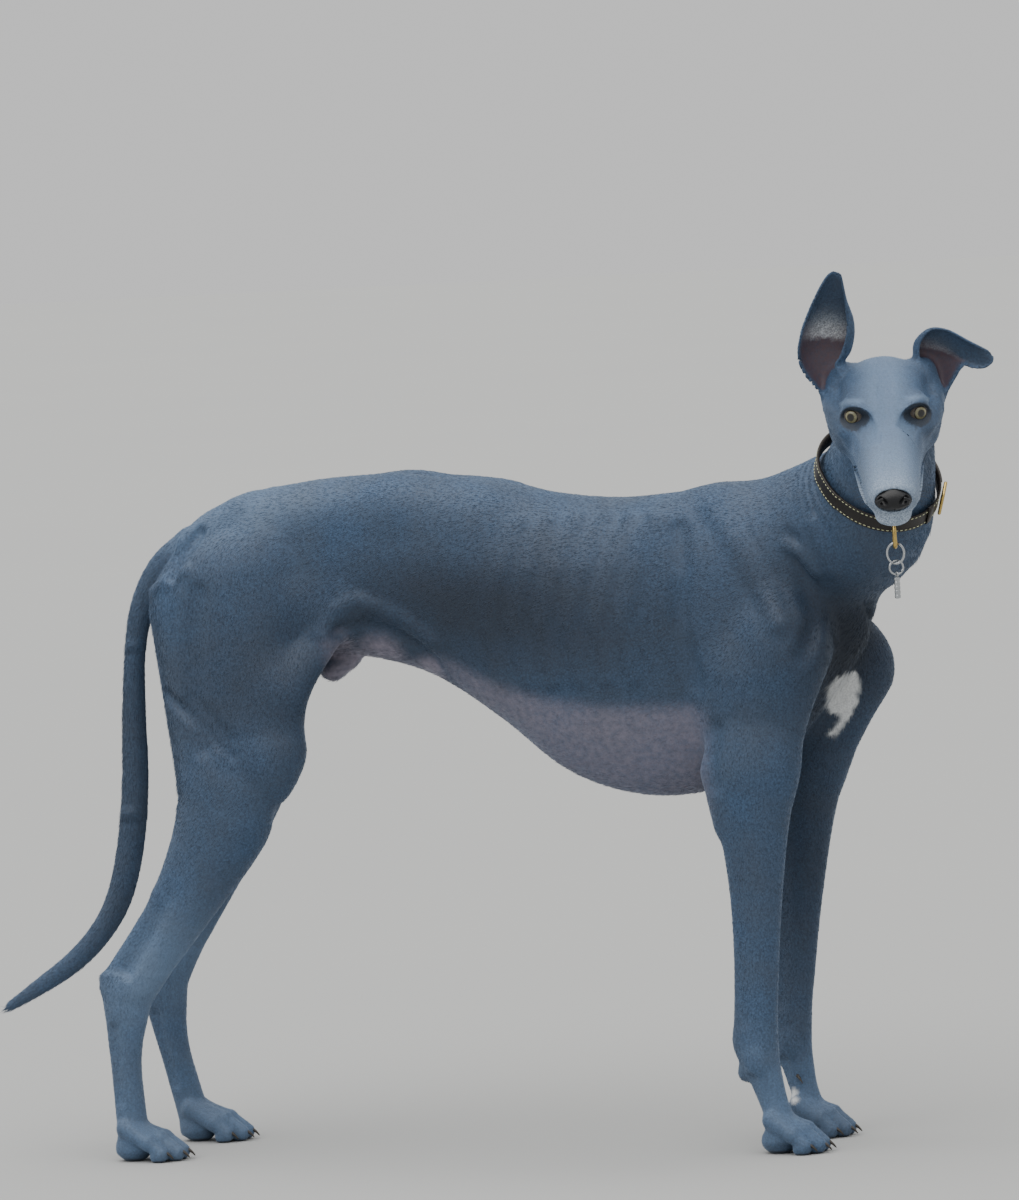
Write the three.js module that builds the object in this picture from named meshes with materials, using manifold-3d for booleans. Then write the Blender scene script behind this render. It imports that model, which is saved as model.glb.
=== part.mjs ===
// A life-size greyhound, standing square with its head turned to its right, and the collar it wears.
// The body is one smooth field of named muscles, bones and sections, and thin cuts part it into nodes.
// Millimetres, +X towards the chest, +Y to the animal's left, +Z up.
import * as THREE from 'three';
import { mergeVertices } from 'three/addons/utils/BufferGeometryUtils.js';
import Module from 'manifold-3d';

const wasm = await Module();
wasm.setup();

// Driving sizes
const faceGap = 0.3;
const halfGap = faceGap / 2;
const growth = 0.7;
const eyeRadius = 11.6;
const eyePlace = [-8, 33, -2];
const eyeGaze = [0.86, 0.4, 0.28];
const earThickness = 3.6;
const earRoll = 2.2;
const clawLength = 11;
const simplifyBy = 0.08;
const collarWidth = 20;
const collarThickness = 3.6;

// Vector helpers on plain arrays
const add = (a, b) => [a[0] + b[0], a[1] + b[1], a[2] + b[2]];
const sub = (a, b) => [a[0] - b[0], a[1] - b[1], a[2] - b[2]];
const scale = (a, k) => [a[0] * k, a[1] * k, a[2] * k];
const dot = (a, b) => a[0] * b[0] + a[1] * b[1] + a[2] * b[2];
const cross = (a, b) => [a[1] * b[2] - a[2] * b[1], a[2] * b[0] - a[0] * b[2], a[0] * b[1] - a[1] * b[0]];
const length = (a) => Math.hypot(a[0], a[1], a[2]);
const unit = (a) => scale(a, 1 / length(a));
const mix = (a, b, t) => [a[0] + (b[0] - a[0]) * t, a[1] + (b[1] - a[1]) * t, a[2] + (b[2] - a[2]) * t];
const clamp = (t, low, high) => Math.min(Math.max(t, low), high);

// A local frame with forward, left and up lines
class Frame {
  constructor(origin, forward = [1, 0, 0], up = [0, 0, 1]) {
    this.origin = origin;
    this.forward = unit(forward);
    this.left = unit(cross(up, this.forward));
    this.up = cross(this.forward, this.left);
  }

  dir(p) {
    return add(add(scale(this.forward, p[0]), scale(this.left, p[1])), scale(this.up, p[2]));
  }

  at(p) {
    return add(this.origin, this.dir(p));
  }

  local(p) {
    const q = sub(p, this.origin);
    return [dot(q, this.forward), dot(q, this.left), dot(q, this.up)];
  }
}

const world = new Frame([0, 0, 0]);

// Smooth curve through a table of values
function tableCurve(xs, ys) {
  const last = xs.length - 1;
  const step = [];
  const slope = [];
  for (let i = 0; i < last; i += 1) {
    step.push(xs[i + 1] - xs[i]);
    slope.push((ys[i + 1] - ys[i]) / step[i]);
  }
  const tangent = ys.map((_, i) => {
    if (i === 0) return slope[0];
    if (i === last) return slope[last - 1];
    return (slope[i - 1] * step[i] + slope[i] * step[i - 1]) / (step[i] + step[i - 1]);
  });
  return (value) => {
    const x = clamp(value, xs[0], xs[last]);
    let i = 0;
    while (i < last - 1 && x > xs[i + 1]) i += 1;
    const t = (x - xs[i]) / step[i];
    const t2 = t * t;
    const t3 = t2 * t;
    return (2 * t3 - 3 * t2 + 1) * ys[i] + (t3 - 2 * t2 + t) * step[i] * tangent[i]
      + (3 * t2 - 2 * t3) * ys[i + 1] + (t3 - t2) * step[i] * tangent[i + 1];
  };
}

// Field forms: each returns a signed distance near its surface, with its box and its blend width
function boxOf(points, margin) {
  const low = [0, 1, 2].map((k) => Math.min(...points.map((p) => p[k])) - margin);
  const high = [0, 1, 2].map((k) => Math.max(...points.map((p) => p[k])) + margin);
  return { low, high };
}

function limb(from, to, fromRadius, toRadius, blend, flat = 1, side = [0, 1, 0]) {
  const flatSide = unit(side);
  const stretch = 1 / flat - 1;
  const squash = (v) => add(v, scale(flatSide, stretch * dot(v, flatSide)));
  const line = squash(sub(to, from));
  const squared = dot(line, line);
  const reach = Math.sqrt(squared);
  const slope = (fromRadius - toRadius) / reach;
  const slant = slope / (reach * Math.sqrt(Math.max(1e-6, 1 - slope * slope)));
  const sideGain = 1 / (flat * flat) - 1;
  return {
    ...boxOf([from, to], Math.max(fromRadius, toRadius) + blend + 4),
    blend,
    value(p) {
      const q = squash(sub(p, from));
      const along = clamp(dot(q, line) / squared, 0, 1);
      const away = length(sub(q, scale(line, along)));
      const t = clamp(along + away * slant, 0, 1);
      const rest = sub(q, scale(line, t));
      const far = length(rest) + 1e-9;
      const normal = dot(rest, flatSide) / far;
      return (far - (fromRadius + (toRadius - fromRadius) * t)) / Math.sqrt(1 + sideGain * normal * normal);
    },
  };
}

function egg(center, radii, blend, frame = world) {
  return {
    ...boxOf([center], Math.max(...radii) + blend + 4),
    blend,
    value(p) {
      const q = sub(p, center);
      const a = [dot(q, frame.forward) / radii[0], dot(q, frame.left) / radii[1], dot(q, frame.up) / radii[2]];
      const far = length(a) + 1e-9;
      const steep = Math.hypot(a[0] / radii[0], a[1] / radii[1], a[2] / radii[2]) + 1e-9;
      return (far * (far - 1)) / steep;
    },
  };
}

// Rows: place along the frame, top, bottom, half width, height of the widest line, exponent
function sectioned(rows, blend, frame = world) {
  const xs = rows.map((row) => row[0]);
  const [top, bottom, width, middle, power] = [1, 2, 3, 4, 5].map((k) => tableCurve(xs, rows.map((row) => row[k])));
  const wide = Math.max(...rows.map((row) => row[3]));
  const highest = Math.max(...rows.map((row) => row[1]));
  const lowest = Math.min(...rows.map((row) => row[2]));
  const corners = [];
  for (const x of [xs[0], xs[xs.length - 1]]) {
    for (const y of [-wide, wide]) {
      for (const z of [lowest, highest]) corners.push(frame.at([x, y, z]));
    }
  }
  return {
    ...boxOf(corners, blend + 4),
    blend,
    value(p) {
      const [x, y, z] = frame.local(p);
      const m = middle(x);
      const n = power(x);
      const w = width(x);
      const h = z > m ? top(x) - m : m - bottom(x);
      const u = Math.abs(y) / w + 1e-6;
      const v = Math.abs(z - m) / h + 1e-6;
      const un = u ** n;
      const vn = v ** n;
      const r = (un + vn) ** (1 / n);
      const steep = Math.hypot(un / u / w, vn / v / h) * r ** (1 - n);
      const f = (r - 1) / steep;
      const over = Math.max(xs[0] - x, x - xs[xs.length - 1]);
      return over > 0 ? Math.hypot(Math.max(f, 0), over) : f;
    },
  };
}

// Rows: x, y, z and radius of a bent tube with an elliptical section
function bentTube(rows, blend, flat) {
  const stepsEach = 4;
  const keys = rows.map((_, i) => i);
  const curves = [0, 1, 2, 3].map((k) => tableCurve(keys, rows.map((row) => row[k])));
  const stations = [];
  for (let i = 0; i <= (rows.length - 1) * stepsEach; i += 1) {
    stations.push(curves.map((curve) => curve(i / stepsEach)));
  }
  const last = stations.length - 1;
  const lines = stations.map((_, i) => {
    const before = stations[Math.max(i - 1, 0)];
    const after = stations[Math.min(i + 1, last)];
    return unit(sub(after, before));
  });
  const sides = lines.map((line) => {
    const steady = add(cross([0, 0, 1], line), [0, 0.15, 0]);
    return unit(sub(steady, scale(line, dot(steady, line))));
  });
  return {
    ...boxOf(stations, Math.max(...rows.map((row) => row[3])) + blend + 4),
    blend,
    value(p) {
      let nearest = Infinity;
      let where = 0;
      for (let i = 0; i < last; i += 1) {
        const d = sub(stations[i + 1], stations[i]);
        const q = sub(p, stations[i]);
        const t = clamp(dot(q, d) / dot(d, d), 0, 1);
        const rest = sub(q, scale(d, t));
        const far = dot(rest, rest);
        if (far < nearest) {
          nearest = far;
          where = i + t;
        }
      }
      const i = Math.min(Math.floor(where), last - 1);
      const t = where - i;
      const q = sub(p, mix(stations[i], stations[i + 1], t));
      const r = stations[i][3] + (stations[i + 1][3] - stations[i][3]) * t;
      const a = dot(q, mix(sides[i], sides[i + 1], t)) / r;
      const c = dot(q, mix(lines[i], lines[i + 1], t)) / r;
      const b = Math.max(dot(q, q) / (r * r) - a * a - c * c, 0);
      const wide = (a * a) / (flat * flat);
      const rho = Math.sqrt(wide + b + c * c) + 1e-9;
      const steep = Math.sqrt(wide / (flat * flat) + b + c * c) / rho / r;
      return (rho - 1) / Math.max(steep, 1e-9);
    },
  };
}

const carved = (form) => ({ ...form, carve: true });

function smoothMin(a, b, k) {
  const h = Math.max(k - Math.abs(a - b), 0) / k;
  return Math.min(a, b) - h * h * k * 0.25;
}

// Adds up the forms whose boxes come near the region
function fieldOf(forms, low, high) {
  const near = forms.filter((form) => [0, 1, 2].every((k) => form.high[k] > low[k] && form.low[k] < high[k]));
  return (p) => {
    let total = 60;
    for (const form of near) {
      const value = form.value(p);
      total = form.carve ? -smoothMin(-total, value, form.blend) : smoothMin(total, value, form.blend);
    }
    return total;
  };
}

// Torso: ribs, loin and rump, then the muscles laid on them
const torsoRows = [
  [-404, 655, 624, 14, 642, 2], [-386, 683, 600, 32, 644, 2], [-358, 708, 575, 53, 650, 2.1],
  [-314, 730, 560, 68, 660, 2.1], [-240, 751, 561, 70, 667, 2.2], [-167, 757, 555, 69, 667, 2.3],
  [-84, 755, 530, 75, 650, 2.3], [-9, 748, 480, 85, 625, 2.2], [62, 731, 422, 91, 600, 2.15],
  [138, 723, 394, 92, 585, 2.1], [205, 726, 392, 87, 580, 2.1], [262, 727, 406, 77, 585, 2.1],
  [318, 716, 440, 68, 592, 2.1], [362, 700, 486, 55, 600, 2], [392, 664, 526, 38, 600, 2],
  [410, 634, 560, 20, 598, 2], [419, 610, 584, 8, 598, 2],
];

function torsoForms() {
  const forms = [sectioned(torsoRows, 30), limb([330, 0, 532], [384, 0, 566], 48, 24, 34)];
  for (const s of [-1, 1]) {
    forms.push(limb([-110, 30 * s, 722], [-280, 34 * s, 716], 23, 25, 34));
    forms.push(limb([-10, 34 * s, 708], [-120, 30 * s, 722], 23, 23, 34));
    forms.push(egg([-312, 42 * s, 680], [58, 38, 46], 40));
    forms.push(limb([250, 32 * s, 698], [346, 62 * s, 572], 28, 30, 36, 0.6));
    forms.push(limb([205, 44 * s, 664], [300, 68 * s, 520], 36, 40, 40, 0.6));
  }
  forms.push(limb([-194, -4, 556], [-214, -4, 545], 15, 18, 12));
  return forms;
}

// Neck and tail: x, y, z, radius
const neckRows = [
  [262, 0, 634, 86], [350, -4, 662, 85], [427, -30, 698, 81], [466, -74, 756, 66], [488, -124, 812, 56],
];
const tailRows = [
  [-374, 0, 684, 25], [-412, 0, 660, 20], [-440, 0, 620, 15], [-453, 0, 569, 12.5], [-459, 0, 499, 14],
  [-462, 0, 430, 15.5], [-471, 0, 360, 16], [-488, 0, 298, 15.5], [-513, 0, 255, 14], [-550, 0, 219, 12.5],
  [-599, 0, 188, 9.5], [-634, 0, 168, 6],
];
const neckForms = () => [bentTube(neckRows, 28, 0.84)];
const tailForms = () => [bentTube(tailRows, 16, 0.85)];

// Legs: height, front, back, half width, middle and exponent, counted from each leg's own line
const forearmRows = [
  [14, 38, 4, 19, 20, 2], [40, 34, 1, 17, 18, 2], [60, 28, -6, 15.5, 12, 2], [78, 25, -13, 16, 8, 2],
  [93, 23, -20, 17.5, 2, 2], [120, 22, -30, 19, -3, 2.2], [150, 23, -27, 17.5, -1, 2.2],
  [190, 27, -24, 16.5, 2, 2.1], [240, 32, -22, 17.5, 6, 2.1], [300, 40, -23, 21, 9, 2.1],
  [350, 48, -28, 26, 10, 2.1], [395, 58, -36, 30, 10, 2.1],
  [432, 64, -38, 30, 12, 2.1], [462, 52, -24, 22, 14, 2.1], [482, 34, 0, 10, 16, 2.1],
];
const cannonRows = [
  [12, 28, -16, 17.5, 4, 2], [42, 20, -17, 17, 1, 2], [75, 17, -18, 16.5, 0, 2.1], [104, 16, -19, 16.5, -1, 2.1],
  [135, 20, -21, 17.5, -1, 2.1], [155, 26, -22, 18.5, 0, 2.1], [176, 33, -24, 19.5, 2, 2.1],
  [196, 44, -26, 18, 6, 2.1], [210, 52, -24, 14, 10, 2.1],
];
// Lower thigh, from the hock up: back edge, front edge, half width, middle, exponent
const shankRows = [
  [-14, 14, -12, 9, 0, 2], [0, 21, -26, 13, -4, 2], [20, 23, -33, 14, -6, 2], [50, 25, -37, 14.5, -8, 2],
  [94, 30, -38, 17, -8, 2], [144, 33, -38, 24, -4, 2.1], [174, 42, -38, 30, 0, 2.1], [215, 66, -37, 36, 10, 2.1],
  [250, 78, -32, 38, 20, 2.1], [282, 70, -14, 30, 26, 2.1], [302, 52, 8, 14, 30, 2.1],
];
const hindLegs = {
  right: {
    s: -1, hip: [-322, -58, 634], stifle: [-266, -88, 419], hock: [-464, -76, 200], line: [-462, -76], lean: 0,
  },
  left: {
    s: 1, hip: [-346, 58, 634], stifle: [-338, 86, 424], hock: [-485, 76, 200], line: [-444, 76], lean: -0.2,
  },
};
const foreLegs = {
  right: { s: -1, shoulder: [350, -68, 560], elbow: [276, -70, 415], line: [284, -62], lean: 0 },
  left: { s: 1, shoulder: [385, 66, 530], elbow: [292, 70, 415], line: [275, 62], lean: 0.045 },
};
const upright = (x, y, leanX, leanY) => new Frame([x, y, 0], [leanX, leanY, 1], [1, 0, 0]);
const shankFrame = (leg) => new Frame(leg.hock, sub(leg.stifle, leg.hock), [-0.7, 0, 0.7]);
const foreFrame = (leg) => upright(leg.line[0], leg.line[1], leg.lean, 0.028 * leg.s);
const cannonFrame = (leg) => upright(leg.line[0], leg.line[1], leg.lean, 0);

// Toes: sideways place and reach, with the hind ones longer
const toes = [[-19, 36], [-7.5, 49], [7.5, 49], [19, 36]];
const hindToeStretch = 1.16;
const toeRadius = 8.4;

function toePoints(x, y, [side, reach], stretch) {
  const inner = Math.abs(side) < 15;
  return {
    base: [x - 4, y + side * 0.7, 38],
    knuckle: [x + reach * stretch * 0.6, y + side, inner ? 25 : 22.5],
    tip: [x + reach * stretch * 0.98, y + side * 1.08, 10],
  };
}

function pawForms(x, y, stretch) {
  const forms = [];
  for (const toe of toes) {
    const { base, knuckle, tip } = toePoints(x, y, toe, stretch);
    forms.push(limb(base, knuckle, 11, toeRadius + 1.2, 6));
    forms.push(limb(knuckle, tip, toeRadius + 1, toeRadius - 0.8, 3));
    forms.push(limb([tip[0] - 7, tip[1], 6.6], [tip[0] - 1, tip[1], 6.6], 7.6, 7, 3));
  }
  forms.push(egg([x, y, 14], [20, 19, 16], 8));
  return forms;
}

const forePaw = (leg) => [leg.line[0] + 16, leg.line[1], 1];
const hindPaw = (leg) => [leg.line[0] + 2, leg.line[1], hindToeStretch];

function hindLegForms(leg) {
  const { s, hip, stifle, hock } = leg;
  const frame = shankFrame(leg);
  const at = (t, out, back) => frame.at([t, out * s, back]);
  return [
    limb(add(hip, [34, 2 * s, 18]), add(stifle, [8, -6 * s, 44]), 46, 37, 34, 0.7),
    limb([-172, 54 * s, 612], add(stifle, [28, -2 * s, 104]), 12, 22, 28, 0.6),
    limb([-186, 50 * s, 622], add(hip, [40, 4 * s, -24]), 14, 34, 30, 0.6),
    limb(add(hip, [-6, 10 * s, 0]), add(stifle, [-36, -2 * s, 40]), 60, 50, 34, 0.62),
    limb(add(hip, [-34, 6 * s, -20]), add(stifle, [-74, 2 * s, 12]), 46, 34, 34, 0.62),
    egg(add(stifle, [0, 0, 14]), [28, 24, 36], 26),
    sectioned(shankRows, 20, frame),
    limb(at(250, 4, 0), at(18, 4, -18), 27, 15, 14, 0.8),
    limb(at(215, 2, 38), at(120, 0, 20), 30, 14, 20, 0.72),
    limb(at(120, 0, 22), at(-4, 0, 14), 9, 8, 8),
    sectioned(cannonRows, 14, cannonFrame(leg)),
    ...pawForms(...hindPaw(leg)),
  ];
}

function foreLegForms(leg) {
  const { s, shoulder, elbow } = leg;
  const frame = foreFrame(leg);
  return [
    egg(add(shoulder, [-10, 0, 0]), [34, 24, 42], 40),
    limb(add(shoulder, [-10, 0, -10]), add(elbow, [30, 0, 4]), 45, 37, 30, 0.62),
    limb(add(shoulder, [-64, -2 * s, -36]), add(elbow, [0, 0, 20]), 43, 29, 30, 0.6),
    limb(add(elbow, [-24, 0, 4]), add(elbow, [-12, 0, -50]), 12, 13, 18),
    sectioned(forearmRows, 18, frame),
    egg(frame.at([90, 0, -19]), [11, 8, 8], 8, frame),
    ...pawForms(...forePaw(leg)),
  ];
}

// Head, in its own frame between the eyes
const head = new Frame([514, -210, 811.5], [0.29, -0.8375, -0.454]);
const skullRows = [
  [-118, -4, -26, 16, -14, 2], [-106, 9, -46, 34, -16, 2.1], [-80, 20, -58, 50, -16, 2.2],
  [-50, 25, -64, 56, -16, 2.3], [-22, 23, -62, 53.5, -17, 2.3], [0, 16, -58, 47, -20, 2.3],
  [16, 8, -58, 41, -24, 2.25], [40, 0, -58, 36, -30, 2.3], [66, -7, -58, 32.5, -34, 2.4],
  [90, -13, -59, 30, -38, 2.5], [104, -17, -60, 28, -40, 2.4],
  [114, -22, -58, 24, -40, 2.2], [121, -30, -50, 15, -40, 2],
];

function headForms() {
  const forms = [sectioned(skullRows, 14, head)];
  for (const s of [-1, 1]) {
    const at = (x, y, z) => head.at([x, y * s, z]);
    forms.push(egg(at(-46, 46, -30), [36, 14, 30], 18, head));
    forms.push(limb(at(0, 42, -18), at(-62, 54, -12), 9, 10, 14));
    forms.push(limb(at(-62, 34, -46), at(60, 16, -62), 15, 11, 14));
    forms.push(limb(at(60, 16, -62), at(100, 9, -62), 11, 9, 10));
    forms.push(limb(at(10, 26, 9), at(-14, 38, 9), 7, 8, 12));
    forms.push(egg(at(...eyePlace), [15, 15, 15], 8, head));
    forms.push(egg(at(-82, 44, 2), [20, 15, 18], 16, head));
  }
  forms.push(egg(head.at([102, 0, -64]), [16, 17, 9], 8, head));
  return forms;
}

function noseForms() {
  const forms = [egg(head.at([115, 0, -37]), [11, 20, 13], 4, head)];
  forms.push(limb(head.at([104, 0, -34]), head.at([112, 0, -36]), 14, 16, 4));
  for (const s of [-1, 1]) {
    forms.push(carved(limb(head.at([127, 8 * s, -36]), head.at([119, 13 * s, -33]), 4, 2.6, 2)));
  }
  return forms;
}

const fleshForms = [
  ...torsoForms(), ...neckForms(), ...tailForms(), ...Object.values(hindLegs).flatMap(hindLegForms),
  ...Object.values(foreLegs).flatMap(foreLegForms), ...headForms(),
];

// Nets a field over a box of cells in a frame: one point in each cell that the surface crosses
function netSurface(forms, frame, low, high, cells, offset = 0) {
  const corners = [];
  for (const x of [low[0], high[0]]) {
    for (const y of [low[1], high[1]]) {
      for (const z of [low[2], high[2]]) corners.push(frame.at([x, y, z]));
    }
  }
  const bounds = boxOf(corners, 10);
  const flesh = fieldOf(forms, bounds.low, bounds.high);
  const count = [0, 1, 2].map((k) => Math.ceil((high[k] - low[k]) / cells[k]) + 2);
  const size = [0, 1, 2].map((k) => (high[k] - low[k]) / (count[k] - 2));
  const start = [0, 1, 2].map((k) => low[k] - size[k] / 2);
  const value = (p) => {
    let edge = -Infinity;
    for (let k = 0; k < 3; k += 1) edge = Math.max(edge, low[k] - p[k], p[k] - high[k]);
    return Math.max(flesh(frame.at(p)) - offset, edge);
  };
  const [nx, ny, nz] = count;
  const index = (i, j, k) => (i * ny + j) * nz + k;
  const grid = new Float64Array(nx * ny * nz);
  for (let i = 0; i < nx; i += 1) {
    for (let j = 0; j < ny; j += 1) {
      for (let k = 0; k < nz; k += 1) {
        grid[index(i, j, k)] = value([start[0] + i * size[0], start[1] + j * size[1], start[2] + k * size[2]]);
      }
    }
  }
  const cellPoint = new Int32Array(nx * ny * nz).fill(-1);
  const points = [];
  const edges = [];
  for (let a = 0; a < 8; a += 1) {
    for (const bit of [1, 2, 4]) {
      if (!(a & bit)) edges.push([a, a | bit]);
    }
  }
  for (let i = 0; i < nx - 1; i += 1) {
    for (let j = 0; j < ny - 1; j += 1) {
      for (let k = 0; k < nz - 1; k += 1) {
        const sum = [0, 0, 0];
        let crossings = 0;
        for (const [a, b] of edges) {
          const ca = [i + (a & 1), j + ((a >> 1) & 1), k + (a >> 2)];
          const cb = [i + (b & 1), j + ((b >> 1) & 1), k + (b >> 2)];
          const va = grid[index(...ca)];
          const vb = grid[index(...cb)];
          if ((va < 0) !== (vb < 0)) {
            const t = va / (va - vb);
            for (let m = 0; m < 3; m += 1) sum[m] += start[m] + (ca[m] + (cb[m] - ca[m]) * t) * size[m];
            crossings += 1;
          }
        }
        if (crossings) {
          cellPoint[index(i, j, k)] = points.length;
          points.push(scale(sum, 1 / crossings));
        }
      }
    }
  }
  const faces = [];
  for (let axis = 0; axis < 3; axis += 1) {
    const b = (axis + 1) % 3;
    const c = (axis + 2) % 3;
    for (let i = 0; i < nx - 1; i += 1) {
      for (let j = 0; j < ny - 1; j += 1) {
        for (let k = 0; k < nz - 1; k += 1) {
          const here = [i, j, k];
          const next = [...here];
          next[axis] += 1;
          const inside = grid[index(...here)] < 0;
          if (here[b] && here[c] && inside !== grid[index(...next)] < 0) {
            const ring = [[0, 0], [1, 0], [1, 1], [0, 1]].map(([u, v]) => {
              const cell = [...here];
              cell[b] -= u;
              cell[c] -= v;
              return cellPoint[index(...cell)];
            });
            const [p, q, r, s] = inside ? ring : ring.reverse();
            const short = length(sub(points[p], points[r])) < length(sub(points[q], points[s]));
            faces.push(...(short ? [[p, q, r], [p, r, s]] : [[p, q, s], [q, r, s]]));
          }
        }
      }
    }
  }
  relax(points, faces, value, Math.min(...size));
  return solidFrom(points.map((p) => frame.at(p)), faces);
}

// Evens the net out along the surface and settles it on the field
function relax(points, faces, value, size) {
  const rounds = 3;
  const probe = 0.4;
  const slope = (p) => [0, 1, 2].map((k) => {
    const ahead = [...p];
    const behind = [...p];
    ahead[k] += probe;
    behind[k] -= probe;
    return (value(ahead) - value(behind)) / (2 * probe);
  });
  const neighbours = points.map(() => new Set());
  for (const [a, b, c] of faces) {
    neighbours[a].add(b).add(c);
    neighbours[b].add(a).add(c);
    neighbours[c].add(a).add(b);
  }
  for (let round = 0; round < rounds; round += 1) {
    const moved = points.map((p, i) => {
      const steep = slope(p);
      const squared = Math.max(dot(steep, steep), 0.05);
      const total = [...neighbours[i]].reduce((sum, j) => add(sum, points[j]), [0, 0, 0]);
      const mean = scale(total, 1 / neighbours[i].size);
      let step = scale(sub(mean, p), 0.5);
      step = sub(step, scale(steep, dot(step, steep) / squared));
      step = sub(step, scale(steep, value(p) / squared));
      const far = length(step);
      return add(p, scale(step, Math.min(1, (size * 0.5) / (far + 1e-9))));
    });
    moved.forEach((p, i) => {
      points[i] = p;
    });
  }
}

// Solids: made from closed meshes, cut by planes, and kept to their largest body
function solidFrom(points, faces) {
  const mesh = new wasm.Mesh({
    numProp: 3,
    vertProperties: Float32Array.from(points.flat()),
    triVerts: Uint32Array.from(faces.flat()),
  });
  return new wasm.Manifold(mesh);
}

function solidOf(geometry) {
  const bare = geometry.clone();
  bare.deleteAttribute('normal');
  bare.deleteAttribute('uv');
  const merged = mergeVertices(bare, 1e-4);
  return new wasm.Manifold(new wasm.Mesh({
    numProp: 3,
    vertProperties: new Float32Array(merged.attributes.position.array),
    triVerts: new Uint32Array(merged.index.array),
  }));
}

function largestBody(solid) {
  return solid.decompose().reduce((best, piece) => (piece.volume() > best.volume() ? piece : best));
}

// A region bounded by planes, each a point and the normal that leads out of it
function region(planes, grow) {
  const reach = 2800;
  let solid = solidOf(new THREE.BoxGeometry(reach, reach, reach));
  for (const { point, out } of planes) {
    const normal = unit(out);
    solid = solid.trimByPlane(scale(normal, -1), -dot(normal, point) - grow);
  }
  return solid;
}

const inside = (solid, planes) => solid.intersect(region(planes, -halfGap));
const outside = (solid, planes) => solid.subtract(region(planes, halfGap));
const plane = (point, out) => ({ point, out });

// Where the body is parted
const pawTop = 50;
const neckFoot = plane([262, 0, 733], [-0.727, 0, -0.686]);
const headRegion = [
  plane(head.at([-72, 0, -79]), head.dir([-0.922, 0, -0.387])),
  plane(head.at([0, 0, -79]), [-head.up[0], -head.up[1], -head.up[2]]),
];
const foreRegion = (s) => [
  plane([0, 42 * s, 380], [0, -0.886 * s, 0.462]), plane([140, 0, 0], [-1, 0, 0]), plane([0, 4 * s, 0], [0, -s, 0]),
];
const hindRegion = (s) => [
  plane([0, 12 * s, 556], [0, -0.71 * s, 0.7]), plane([-198, 0, 0], [1, 0, 0]), plane([0, 6 * s, 0], [0, -s, 0]),
];
const tailRegion = [
  plane([-406, 0, 664], [0.8, 0, 0.6]), plane([0, 26, 0], [0, 1, 0]), plane([0, -26, 0], [0, -1, 0]),
];
const kneeCut = (leg) => {
  const frame = shankFrame(leg);
  return plane(frame.at([232, 0, 0]), scale(frame.forward, -1));
};
const hockCut = (leg) => plane([leg.hock[0], leg.hock[1], 186], [0.35, 0, -1]);
const flip = ({ point, out }) => plane(point, scale(out, -1));

// Ears: lateral edge and medial edge in the head's frame, how deep the cup is behind them, and how far it rolls out
const rightEarRows = [
  [-60, -67.4, -1.7, -66, -45.8, 18.5, 16, 10], [-64, -82.9, 20.6, -70, -49.2, 25.3, 20, 15],
  [-70, -88.4, 38.2, -74, -43, 34.3, 22, 17], [-76, -83.8, 62.3, -80, -36.2, 51, 20, 14],
  [-82, -75.8, 81.9, -85, -34.1, 68.6, 15, 10], [-86, -65.9, 102.3, -88, -35.2, 90.4, 10, 3],
  [-89, -55.4, 120.3, -90, -36.9, 109.8, 5, 0], [-90, -48.2, 127.4, -91, -38.9, 123.4, 1.5, 0],
];
const leftEarRows = [
  [-60, 68, -10.8, -66, 56.9, -9.1, 14, -4], [-62, 77.5, 5.1, -72, 44.9, 6, 19, -8],
  [-64, 84.3, 15.2, -78, 40.7, 23.5, 20, -9], [-64, 89.6, 19.3, -82, 42.8, 40.2, 16, -8],
  [-62, 97, 17, -82, 54.7, 54.9, 10, -4], [-60, 108.4, 17.3, -78, 72.4, 55.1, 6, -2],
  [-60, 116.7, 22.1, -70, 93.3, 45, 3, 0], [-62, 119, 26.7, -64, 114.3, 34.6, 1, 0],
];

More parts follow.
